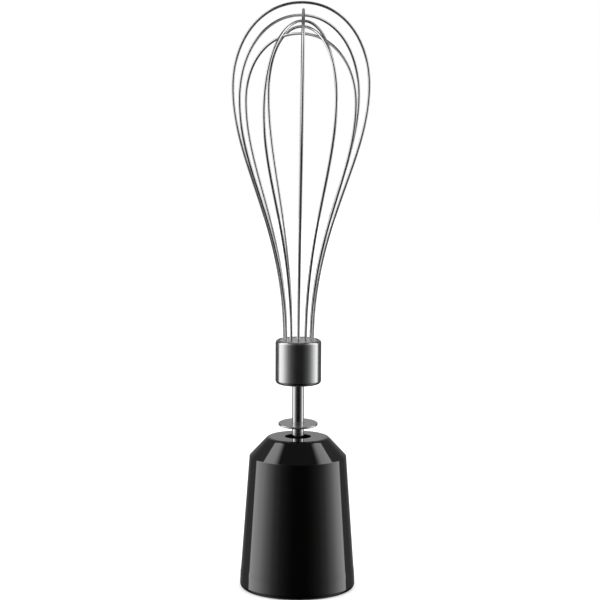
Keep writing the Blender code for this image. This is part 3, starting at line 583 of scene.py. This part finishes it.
def place_piece(piece, body, material, slot, *nodes):
    """Give a piece its finish, let it ride on a body and stand for its CAD nodes."""
    piece.data.materials.append(finish(material))
    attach(piece, body)
    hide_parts(*nodes)


def paint_nodes(material, *nodes):
    """Give carried-over CAD nodes a better material in their own slots."""
    for name in nodes:
        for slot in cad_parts[name].material_slots:
            slot.material = finish(material)


# ---------------------------------------------------------------- sizes and colours

class WhiskSizes(bpy.types.PropertyGroup):
    """Sizes that a user would change."""

    base_radius: FloatProperty(
        name="Base radius", description="Widest radius of the collar, just above its rim",
        default=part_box("outer_sleeve")[1].x, unit="LENGTH")
    collar_height: FloatProperty(
        name="Collar height", description="Height of the collar's flat crown",
        default=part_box("outer_sleeve")[1].z, unit="LENGTH")
    shaft_radius: FloatProperty(
        name="Shaft radius", description="Radius of the round part of the shaft",
        default=2.7 * MM, unit="LENGTH")
    plate_radius: FloatProperty(
        name="Splash plate radius", description="Radius of the disc above the collar",
        default=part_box("splash_disc")[1].x, unit="LENGTH")
    ferrule_radius: FloatProperty(
        name="Ferrule radius", description="Radius of the steel cup that holds the wires",
        default=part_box("ferrule")[1].x, unit="LENGTH")
    wire_radius: FloatProperty(
        name="Wire radius", description="Half the thickness of the balloon's wire",
        default=0.62 * MM, unit="LENGTH")


class WhiskFinishes(bpy.types.PropertyGroup):
    """Colours that a user would change."""

    shell_colour: FloatVectorProperty(
        name="Collar", description="Colour in the gloss of the collar", subtype="COLOR",
        size=3, default=linear("#030303"), min=0.0, max=1.0)
    moulding_colour: FloatVectorProperty(
        name="Inner mouldings", description="Colour of the socket and gear case",
        subtype="COLOR", size=3, default=linear("#101011"), min=0.0, max=1.0)
    nylon_colour: FloatVectorProperty(
        name="Gears", description="Colour of the nylon gears and coupling", subtype="COLOR",
        size=3, default=linear("#E4DFD2"), min=0.0, max=1.0)
    steel_colour: FloatVectorProperty(
        name="Steel", description="Colour that polished stainless steel reflects",
        subtype="COLOR", size=3, default=linear("#D4D4D5"), min=0.0, max=1.0)
    floor_colour: FloatVectorProperty(
        name="Floor", description="Colour of the pale floor", subtype="COLOR", size=3,
        default=linear("#F6F6F5"), min=0.0, max=1.0)


# ---------------------------------------------------------------- pieces

class WHISK_OT_collar(bpy.types.Operator):
    """Build the glossy conical collar: rolled base, straight taper, chamfered crown"""

    bl_idname = "whisk.collar"
    bl_label = "Collar"

    def execute(self, context):
        size = context.scene.whisk_sizes
        top = size.collar_height
        draft = (TAPER_FOOT[0] - SHOULDER[0]) / (SHOULDER[1] - TAPER_FOOT[1])
        inner_top = (SHOULDER[0] - SLEEVE_WALL, SHOULDER[1] - 0.8 * MM)
        inner_foot_z = SOCKET_TOP + 0.8 * MM
        inner_foot = (inner_top[0] + draft * (inner_top[1] - inner_foot_z), inner_foot_z)
        groove = SOCKET_RADIUS + SNAP_DEPTH
        outline = rounded([
            (RIM_RADIUS, 0, 0.2 * MM),
            (size.base_radius, 0, BASE_FILLET),
            (*LIP_TOP, 18 * MM),
            (*TAPER_FOOT, 18 * MM),
            (*SHOULDER, 0.45 * MM),
            (CROWN_RADIUS, top, CROWN_FILLET),
            (CROWN_HOLE, top, 0.2 * MM),
            (CROWN_HOLE, CROWN_UNDERSIDE, 0.15 * MM),
            (CROWN_RADIUS - MM, CROWN_UNDERSIDE, 0.6 * MM),
            (*inner_top, 0.8 * MM),
            (*inner_foot, 0.5 * MM),
            (SOCKET_RADIUS, SOCKET_TOP, 0.3 * MM),
            (SOCKET_RADIUS, SNAP_HEIGHT + 1.2 * MM, 0.2 * MM),
            (groove, SNAP_HEIGHT + 0.9 * MM, 0.1 * MM),
            (groove, SNAP_HEIGHT - 0.9 * MM, 0.1 * MM),
            (SOCKET_RADIUS, SNAP_HEIGHT - 1.2 * MM, 0.2 * MM),
            (SOCKET_RADIUS, EDGE, 0.15 * MM),
        ])
        shell = turned("collar_shell", outline, COLLAR_SIDES)
        place_piece(shell, "housing", "mirror_moulded_abs", "black_gloss_shell",
                    "outer_sleeve")
        return {"FINISHED"}


class WHISK_OT_socket(bpy.types.Operator):
    """Build the cup that takes the motor handle's nose, with three bayonet lugs"""

    bl_idname = "whisk.socket"
    bl_label = "Handle socket"

    def execute(self, context):
        low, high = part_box("base_cover")
        foot, top, outer = low.z, high.z, high.x
        radius = SOCKET_RADIUS - 0.3 * MM
        outline = rounded([
            (COVER_HOLE, COVER_FLOOR, 0.2 * MM),
            (COVER_BORE, COVER_FLOOR, 0.9 * MM),
            (COVER_BORE, LUG_TOP + 0.35 * MM, 0),
            (COVER_BORE, LUG_TOP, 0),
            (COVER_BORE, LUG_TOP - 0.3 * MM, 0),
            (COVER_BORE, LUG_FOOT + 0.3 * MM, 0),
            (COVER_BORE, LUG_FOOT, 0),
            (COVER_BORE, LUG_FOOT - 0.35 * MM, 0),
            (COVER_BORE, foot, EDGE),
            (radius, foot, EDGE),
            (radius, SNAP_HEIGHT - 0.75 * MM, 0.1 * MM),
            (outer, SNAP_HEIGHT - 0.35 * MM, 0.15 * MM),
            (outer, SNAP_HEIGHT + 0.35 * MM, 0.15 * MM),
            (radius, SNAP_HEIGHT + 0.75 * MM, 0.1 * MM),
            (radius, top, EDGE),
            (COVER_HOLE, top, 0.2 * MM),
        ])

        def lugs(r, z, angle):
            """On the bore, the radius drops to the lug's reach by the product of a plateau in
            height and a plateau in angle round each lug's middle."""
            rise = np.clip((z - LUG_FOOT + 0.35 * MM) / (0.5 * MM), 0, 1)
            fall = np.clip((LUG_TOP + 0.35 * MM - z) / (0.5 * MM), 0, 1)
            off = np.min([np.abs((angle - a) % TURN - math.pi) for a in SCREW_ANGLES], 0)
            inside = np.clip((LUG_SWEEP / 2 - off) / math.radians(1.5) + 0.5, 0, 1)
            on_bore = np.abs(r - COVER_BORE) < 0.01 * MM
            return r - on_bore * rise * fall * inside * (COVER_BORE - LUG_REACH), z

        socket = turned("handle_socket", outline, COLLAR_SIDES, shape=lugs)
        place_piece(socket, "housing", "spark_textured_nylon", "black_matt_moulding",
                    "base_cover")
        return {"FINISHED"}


class WHISK_OT_screws(bpy.types.Operator):
    """Build the three case screws with their cross recesses and threads"""

    bl_idname = "whisk.screws"
    bl_label = "Case screws"

    def execute(self, context):
        low, high = (corner.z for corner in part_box("case_screw_1"))
        shoulder = low + HEAD_HEIGHT
        recess = [(0, low + RECESS_DEPTH), (RECESS_HALF_LENGTH * 0.8, low + RECESS_DEPTH),
                  (RECESS_HALF_LENGTH, low + 0.05 * MM), (RECESS_HALF_LENGTH * 1.04, low)]
        head = rounded([(1.7 * MM, low, 0), (SCREW_HEAD - 0.5 * MM, low + 0.1 * MM, 0.8 * MM),
                        (SCREW_HEAD, low + 1.1 * MM, 0.5 * MM),
                        (SCREW_HEAD, shoulder, 0.12 * MM), (SCREW_SHANK, shoulder, 0)])
        shank = np.linspace(shoulder + 0.05 * MM, high - MM, THREAD_RINGS)
        tip = [(0.8 * MM, high), (0, high)]
        threaded = np.stack([np.full(THREAD_RINGS, SCREW_SHANK), shank], -1)
        outline = np.concatenate([recess, head, threaded, tip])

        def cross_and_thread(r, z, angle):
            """The recess takes the cross's own radius, the larger of its two bars' at each
            angle. The shank's radius follows a ridge that climbs one pitch a turn."""
            c, s = np.abs(np.cos(angle)) + 1e-9, np.abs(np.sin(angle)) + 1e-9
            bar = np.minimum(RECESS_HALF_LENGTH / c, RECESS_HALF_WIDTH / s)
            other = np.minimum(RECESS_HALF_LENGTH / s, RECESS_HALF_WIDTH / c)
            cross = np.maximum(bar, other) / RECESS_HALF_LENGTH
            r = np.array(r)
            r[:4] *= cross
            on_shank = (z > shoulder + 0.04 * MM) & (z < high - 0.9 * MM)
            phase = (z / THREAD_PITCH - angle / TURN) % 1.0
            ridge = np.clip(1 - np.abs(phase - 0.5) / 0.25, 0, 1) - 1
            return r + on_shank * THREAD_DEPTH * ridge, z

        for number, angle in enumerate(SCREW_ANGLES):
            centre = (SCREW_CIRCLE * math.cos(angle), SCREW_CIRCLE * math.sin(angle))
            screw = turned(f"socket_screw_{number + 1}", outline, SMALL_SIDES, closed=False,
                           shape=cross_and_thread, centre=centre)
            place_piece(screw, "housing", "zinc_plated_steel", "cut_steel",
                        f"case_screw_{number + 1}")
        return {"FINISHED"}


class WHISK_OT_coupling(bpy.types.Operator):
    """Build the moulded drive coupling with its six-lobed socket"""

    bl_idname = "whisk.coupling"
    bl_label = "Drive coupling"

    def execute(self, context):
        low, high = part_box("drive_coupling")
        foot, top, radius = low.z, high.z, high.x
        roof = foot + SPLINE_DEPTH
        outline = rounded([
            (0, roof, 0),
            (SPLINE_RADIUS, roof, 0.3 * MM),
            (SPLINE_RADIUS, foot + 0.5 * MM, 0.2 * MM),
            (SPLINE_RADIUS + 0.5 * MM, foot, 0.2 * MM),
            (radius, foot, EDGE),
            (radius, top - MM, 0.3 * MM),
            (radius - MM, top, 0.3 * MM),
            (STEM_HOLE, top, 0.2 * MM),
            (STEM_HOLE, STEM_FOOT, 0.2 * MM),
            (0, STEM_FOOT, 0),
        ])

        def lobes(r, z, angle):
            """Below the socket's roof the radius gains a cosine with six crests a turn, full
            up to the socket's mouth and fading to nothing at the outer wall."""
            share = np.clip((radius - r) / (radius - SPLINE_RADIUS - 0.6 * MM), 0, 1)
            inward = np.clip(r / SPLINE_RADIUS, 0, 1)
            in_socket = z < roof + 0.01 * MM
            return r + in_socket * share * inward * SPLINE_WAVE * np.cos(SPLINE_LOBES * angle), z

        coupling = turned("spindle_coupling", outline, FINE_SIDES, closed=False, shape=lobes)
        place_piece(coupling, "sun", "natural_nylon", "white_nylon", "drive_coupling")
        return {"FINISHED"}


class WHISK_OT_shaft(bpy.types.Operator):
    """Build the shaft: ground rod with a hexagonal foot and a groove for the clip"""

    bl_idname = "whisk.shaft"
    bl_label = "Shaft"

    def execute(self, context):
        radius = context.scene.whisk_sizes.shaft_radius
        low, high = (corner.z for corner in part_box("drive_shaft"))
        groove_foot = GROOVE_MIDDLE - GROOVE_HEIGHT / 2
        groove_top = GROOVE_MIDDLE + GROOVE_HEIGHT / 2
        corner = HEX_FLATS / math.sqrt(3)
        outline = rounded([
            (0, low, 0),
            (corner - 0.5 * MM, low, 0.15 * MM),
            (corner, low + 0.5 * MM, 0.15 * MM),
            (corner, groove_foot, 0.1 * MM),
            (GROOVE_RADIUS, groove_foot, 0.15 * MM),
            (GROOVE_RADIUS, groove_top, 0.15 * MM),
            (corner, groove_top, 0.1 * MM),
            (corner, HEX_TOP, 0.05 * MM),
            (radius - 0.05 * MM, HEX_TOP + 0.05 * MM, 0.02 * MM),
            (radius, HEX_TOP + 0.3 * MM, 0.1 * MM),
            (radius, high, EDGE),
            (0, high, 0),
        ])

        def hexagon(r, z, angle):
            """Below the hexagon's top the radius is cut to half the flats over the cosine of
            the angle from the nearest flat's middle."""
            off = angle % (TURN / 6) - TURN / 12
            flat = HEX_FLATS / 2 / np.cos(off)
            return np.where(z < HEX_TOP + 0.02 * MM, np.minimum(r, flat), r), z

        shaft = turned("shaft_rod", outline, FINE_SIDES, closed=False, shape=hexagon)
        place_piece(shaft, "whisk", "ground_rod_steel", "shaft_steel", "drive_shaft")
        return {"FINISHED"}


class WHISK_OT_splash_plate(bpy.types.Operator):
    """Build the thin splash disc and its short hub"""

    bl_idname = "whisk.splash_plate"
    bl_label = "Splash plate"

    def execute(self, context):
        radius = context.scene.whisk_sizes.plate_radius
        hub_foot, top = (corner.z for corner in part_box("splash_disc"))
        slope = math.tan(PLATE_TILT)
        top -= radius * slope
        foot = top - PLATE_THICKNESS
        outline = rounded([
            (BORE, hub_foot, 0.1 * MM),
            (PLATE_HUB, hub_foot, 0.2 * MM),
            (PLATE_HUB, foot, 0.25 * MM),
            (radius, foot, PLATE_EDGE),
            (radius, top, PLATE_EDGE),
            (BORE, top, 0.1 * MM),
        ])

        def askew(r, z, angle):
            """Heights gain the slope times the distance towards the back."""
            return r, z + r * np.sin(angle) * slope

        plate = turned("splash_plate", outline, FINE_SIDES, shape=askew)
        place_piece(plate, "whisk", "satin_turned_steel", "satin_steel", "splash_disc")
        return {"FINISHED"}


class WHISK_OT_ferrule(bpy.types.Operator):
    """Build the turned steel cup and the plug with twelve wire holes in its mouth"""

    bl_idname = "whisk.ferrule"
    bl_label = "Ferrule and plug"

    def execute(self, context):
        radius = context.scene.whisk_sizes.ferrule_radius
        foot, top = (corner.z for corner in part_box("ferrule"))
        inner = radius - FERRULE_WALL
        outline = rounded([
            (BORE, foot, 0.1 * MM),
            (radius, foot, FERRULE_FOOT_FILLET),
            (radius, top, FERRULE_RIM_FILLET),
            (inner, top, 0.05 * MM),
            (inner, foot + FERRULE_WALL, 0.7 * MM),
            (BORE, foot + FERRULE_WALL, 0.1 * MM),
        ])
        cup = turned("ferrule_cup", outline, FINE_SIDES)
        place_piece(cup, "whisk", "mop_polished_steel", "ferrule_steel", "ferrule")

        low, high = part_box("wire_holder")
        face = np.linspace(0.4 * MM, WIRE_CIRCLE - 1.15 * MM, 8)
        holes = np.linspace(WIRE_CIRCLE - 1.1 * MM, WIRE_CIRCLE + 1.1 * MM, 23)
        rim = rounded([(WIRE_CIRCLE + 1.4 * MM, high.z, 0), (high.x, high.z, 0.15 * MM),
                       (high.x, low.z, 0.3 * MM), (BORE, low.z, 0.2 * MM),
                       (BORE, SHAFT_END_HOLE_TOP, 0.2 * MM), (0, SHAFT_END_HOLE_TOP, 0)])
        flat = np.concatenate([[0.0], face, holes])
        outline = np.concatenate([np.stack([flat, np.full(len(flat), high.z)], -1), rim])
        around = [math.radians(azimuth + half) for azimuth, *_ in WIRE_LOOPS
                  for half in (0, 180)]

        def wire_holes(r, z, angle):
            """The face sinks to the hole's depth where a point is nearer to a wire's axis
            than the hole's radius, over a short ramp."""
            x, y = r * np.cos(angle), r * np.sin(angle)
            off = np.min([np.hypot(x - WIRE_CIRCLE * math.cos(a),
                                   y - WIRE_CIRCLE * math.sin(a)) for a in around], 0)
            sunk = np.clip((PLUG_HOLE_RADIUS + 0.05 * MM - off) / (0.15 * MM), 0, 1)
            on_face = z > high.z - 0.001 * MM
            return r, z - on_face * sunk * PLUG_HOLE_DEPTH

        plug = turned("wire_plug", outline, 2 * COLLAR_SIDES, closed=False, shape=wire_holes)
        place_piece(plug, "whisk", "faced_plug_steel", "holder_steel", "wire_holder")
        return {"FINISHED"}


class WHISK_OT_wires(bpy.types.Operator):
    """Build the six nested loops of spring wire"""

    bl_idname = "whisk.wires"
    bl_label = "Wire loops"

    def execute(self, context):
        radius = context.scene.whisk_sizes.wire_radius
        for number, (azimuth, half_width, widest, top, lean) in enumerate(WIRE_LOOPS):
            flare, dome = widest - WIRE_MOUTH, top - widest
            straight = np.stack([np.full(ROOT_STEPS, WIRE_CIRCLE),
                                 np.linspace(WIRE_END, WIRE_MOUTH, ROOT_STEPS + 1)[:-1]], -1)
            swell = cubic((WIRE_CIRCLE, WIRE_MOUTH),
                          (WIRE_CIRCLE, WIRE_MOUTH + FLARE_RISE * flare),
                          (half_width, widest - FLARE_SWELL * flare), (half_width, widest),
                          SWELL_STEPS)
            over = cubic((half_width, widest), (half_width, widest + DOME_RISE * dome),
                         (DOME_SPREAD * half_width, top), (0, top), DOME_STEPS)
            side = np.concatenate([straight, swell, over[1:]])
            other = side[-2::-1] * (-1, 1)
            path = np.concatenate([side, other])
            turn = math.radians(azimuth)
            rise = np.clip((path[:, 1] - WIRE_MOUTH) / (top - WIRE_MOUTH), 0, 1)
            points = np.stack([path[:, 0] * math.cos(turn) + lean * rise ** LEAN_POWER,
                               path[:, 0] * math.sin(turn), path[:, 1]], -1)
            normal = (-math.sin(turn), math.cos(turn), 0.0)
            wire = swept_wire(f"wire_{number + 1}", points, normal, radius)
            place_piece(wire, "whisk", "drawn_spring_wire", "wire_steel",
                        f"wire_loop_{number + 1}")
        return {"FINISHED"}


class WHISK_OT_inner_finishes(bpy.types.Operator):
    """Give the gears, bushes and other inner nodes the finishes of their real materials"""

    bl_idname = "whisk.inner_finishes"
    bl_label = "Inner finishes"

    def execute(self, context):
        threes = range(1, 4)
        paint_nodes("spark_textured_nylon", "gear_case")
        paint_nodes("natural_nylon", "ring_gear", "planet_carrier", "carrier_plate",
                    *(f"planet_gear_{n}" for n in threes))
        paint_nodes("sintered_bronze", "output_bush", "input_bush")
        paint_nodes("tumbled_steel", "thrust_washer", "retaining_clip",
                    *(f"planet_pin_{n}" for n in threes))
        paint_nodes("zinc_plated_steel", "sun_gear")
        paint_nodes("black_nitrile_rubber", "shaft_seal")
        return {"FINISHED"}


class WHISK_OT_stage(bpy.types.Operator):
    """Set up the pale floor, the softboxes round the object and the camera"""

    bl_idname = "whisk.stage"
    bl_label = "Studio"

    def execute(self, context):
        outline = np.array([(0, -FLOOR_DEPTH), (FLOOR_RADIUS, -FLOOR_DEPTH),
                            (FLOOR_RADIUS, 0), (0, 0)])
        floor = turned("pale_floor", outline, FINE_SIDES, closed=False)
        floor.data.materials.append(finish("light_table"))
        # Mirror-like pieces show the black cloth in front of the table instead of the table
        floor.visible_glossy = False
        self.light_studio(context.scene)
        camera = bpy.data.cameras.new("camera")
        camera.lens = CAMERA_LENS
        camera.sensor_width = CAMERA_SENSOR
        camera.clip_end = 20
        eye = bpy.data.objects.new("camera", camera)
        context.scene.collection.objects.link(eye)
        eye.matrix_world = (Matrix.Translation(CAMERA_PLACE)
                            @ Matrix.Rotation(CAMERA_YAW, 4, "Z")
                            @ Matrix.Rotation(math.pi / 2 - CAMERA_PITCH, 4, "X")
                            @ Matrix.Rotation(CAMERA_ROLL, 4, "Z"))
        context.scene.camera = eye
        context.scene.view_settings.view_transform = "Standard"
        context.scene.view_settings.look = "None"
        return {"FINISHED"}

    def light_studio(self, scene):
        """Shiny pieces see two tall softboxes in a dark studio, whose brightness is a ramp
        round the object times a ramp in height. All else is lit evenly by white walls."""
        world = bpy.data.worlds.new("softbox_studio")
        scene.world = world
        world.use_nodes = True
        tree = world.node_tree
        tree.nodes.clear()
        direction = add_node(tree, "ShaderNodeTexCoord").outputs["Generated"]
        height = add_node(tree, "ShaderNodeSeparateXYZ", {"Vector": direction})
        level = add_node(tree, "ShaderNodeMath", {0: height.outputs["Z"]},
                         operation="ARCSINE")
        level = add_node(tree, "ShaderNodeMapRange", {"Value": level.outputs[0]},
                         {"From Min": -math.pi / 2, "From Max": math.pi / 2})
        ahead = self.degrees_off(tree, direction, 0.0)
        from_dark = self.degrees_off(tree, direction, GRADE_TURN)

        def ramp(share, stops, start=0, span=180):
            """Brightness from stops in degrees, where share 0 is the start and 1 the end."""
            places = [((degrees - start) / span, value) for degrees, value in stops]
            return add_node(tree, "ShaderNodeValToRGB", {"Fac": share.outputs[0]},
                            stops=places).outputs["Color"]

        boxes = add_node(tree, "ShaderNodeMath",
                         {0: ramp(from_dark, SOFTBOX_GRADE), 1: ramp(ahead, SOFTBOX_END)},
                         operation="MULTIPLY")
        around = add_node(tree, "ShaderNodeMath",
                          {0: boxes.outputs[0], 1: ramp(ahead, PAPER)}, operation="ADD")
        seen = add_node(tree, "ShaderNodeMath",
                        {0: around.outputs[0], 1: ramp(level, SOFTBOX_UP, -90),
                         2: ramp(level, OVERHEAD, -90)}, operation="MULTIPLY_ADD")
        shiny = add_node(tree, "ShaderNodeBackground", {"Strength": seen.outputs[0]})
        walls = add_node(tree, "ShaderNodeBackground", values={"Strength": WALL_LIGHT})
        backdrop = add_node(tree, "ShaderNodeBackground",
                            values={"Strength": BACKDROP_LIGHT})
        for node in (shiny, walls, backdrop):
            node.inputs["Color"].default_value = (1.0, 1.0, 1.0, 1.0)
        ray = add_node(tree, "ShaderNodeLightPath")
        lit = add_node(tree, "ShaderNodeMixShader",
                       {0: ray.outputs["Is Glossy Ray"], 1: walls.outputs[0],
                        2: shiny.outputs[0]})
        shown = add_node(tree, "ShaderNodeMixShader",
                         {0: ray.outputs["Is Camera Ray"], 1: lit.outputs[0],
                          2: backdrop.outputs[0]})
        add_node(tree, "ShaderNodeOutputWorld", {"Surface": shown.outputs[0]})

    def degrees_off(self, tree, direction, turn):
        """Angle round the object between a direction and the camera's side, over half a turn:
        the size of the arc tangent of x over -y after turning by this much."""
        turned_round = add_node(tree, "ShaderNodeVectorRotate", {"Vector": direction},
                                {"Angle": turn}, rotation_type="Z_AXIS")
        parts = add_node(tree, "ShaderNodeSeparateXYZ",
                         {"Vector": turned_round.outputs["Vector"]})
        towards = add_node(tree, "ShaderNodeMath", {0: parts.outputs["Y"]}, {1: -1.0},
                           operation="MULTIPLY")
        azimuth = add_node(tree, "ShaderNodeMath",
                           {0: parts.outputs["X"], 1: towards.outputs[0]},
                           operation="ARCTAN2")
        size = add_node(tree, "ShaderNodeMath", {0: azimuth.outputs[0]},
                        operation="ABSOLUTE")
        return add_node(tree, "ShaderNodeMath", {0: size.outputs[0]}, {1: math.pi},
                        operation="DIVIDE")


class WHISK_PT_panel(bpy.types.Panel):
    """Sizes, colours and builders of the whisk attachment"""

    bl_label = "Whisk attachment"
    bl_idname = "WHISK_PT_panel"
    bl_space_type = "VIEW_3D"
    bl_region_type = "UI"
    bl_category = "Whisk"

    def draw(self, context):
        scene = context.scene
        for group in (scene.whisk_sizes, scene.whisk_finishes):
            box = self.layout.box()
            for name in group.bl_rna.properties.keys():
                if name not in ("rna_type", "name"):
                    box.prop(group, name)
        for operator in OPERATORS:
            self.layout.operator(operator.bl_idname)


OPERATORS = (
    WHISK_OT_stage,
    WHISK_OT_collar,
    WHISK_OT_socket,
    WHISK_OT_screws,
    WHISK_OT_coupling,
    WHISK_OT_shaft,
    WHISK_OT_splash_plate,
    WHISK_OT_ferrule,
    WHISK_OT_wires,
    WHISK_OT_inner_finishes,
)
CLASSES = (WhiskSizes, WhiskFinishes, *OPERATORS, WHISK_PT_panel)


def register():
    """Register the classes and put the settings on the scene."""
    for cls in CLASSES:
        bpy.utils.register_class(cls)
    bpy.types.Scene.whisk_sizes = PointerProperty(type=WhiskSizes)
    bpy.types.Scene.whisk_finishes = PointerProperty(type=WhiskFinishes)


def unregister():
    """Take the settings and classes away again."""
    del bpy.types.Scene.whisk_finishes
    del bpy.types.Scene.whisk_sizes
    for cls in reversed(CLASSES):
        bpy.utils.unregister_class(cls)


def main():
    """Build every piece."""
    register()
    bpy.ops.whisk.stage()
    bpy.ops.whisk.collar()
    bpy.ops.whisk.socket()
    bpy.ops.whisk.screws()
    bpy.ops.whisk.coupling()
    bpy.ops.whisk.shaft()
    bpy.ops.whisk.splash_plate()
    bpy.ops.whisk.ferrule()
    bpy.ops.whisk.wires()
    bpy.ops.whisk.inner_finishes()


if __name__ == "__main__":
    main()
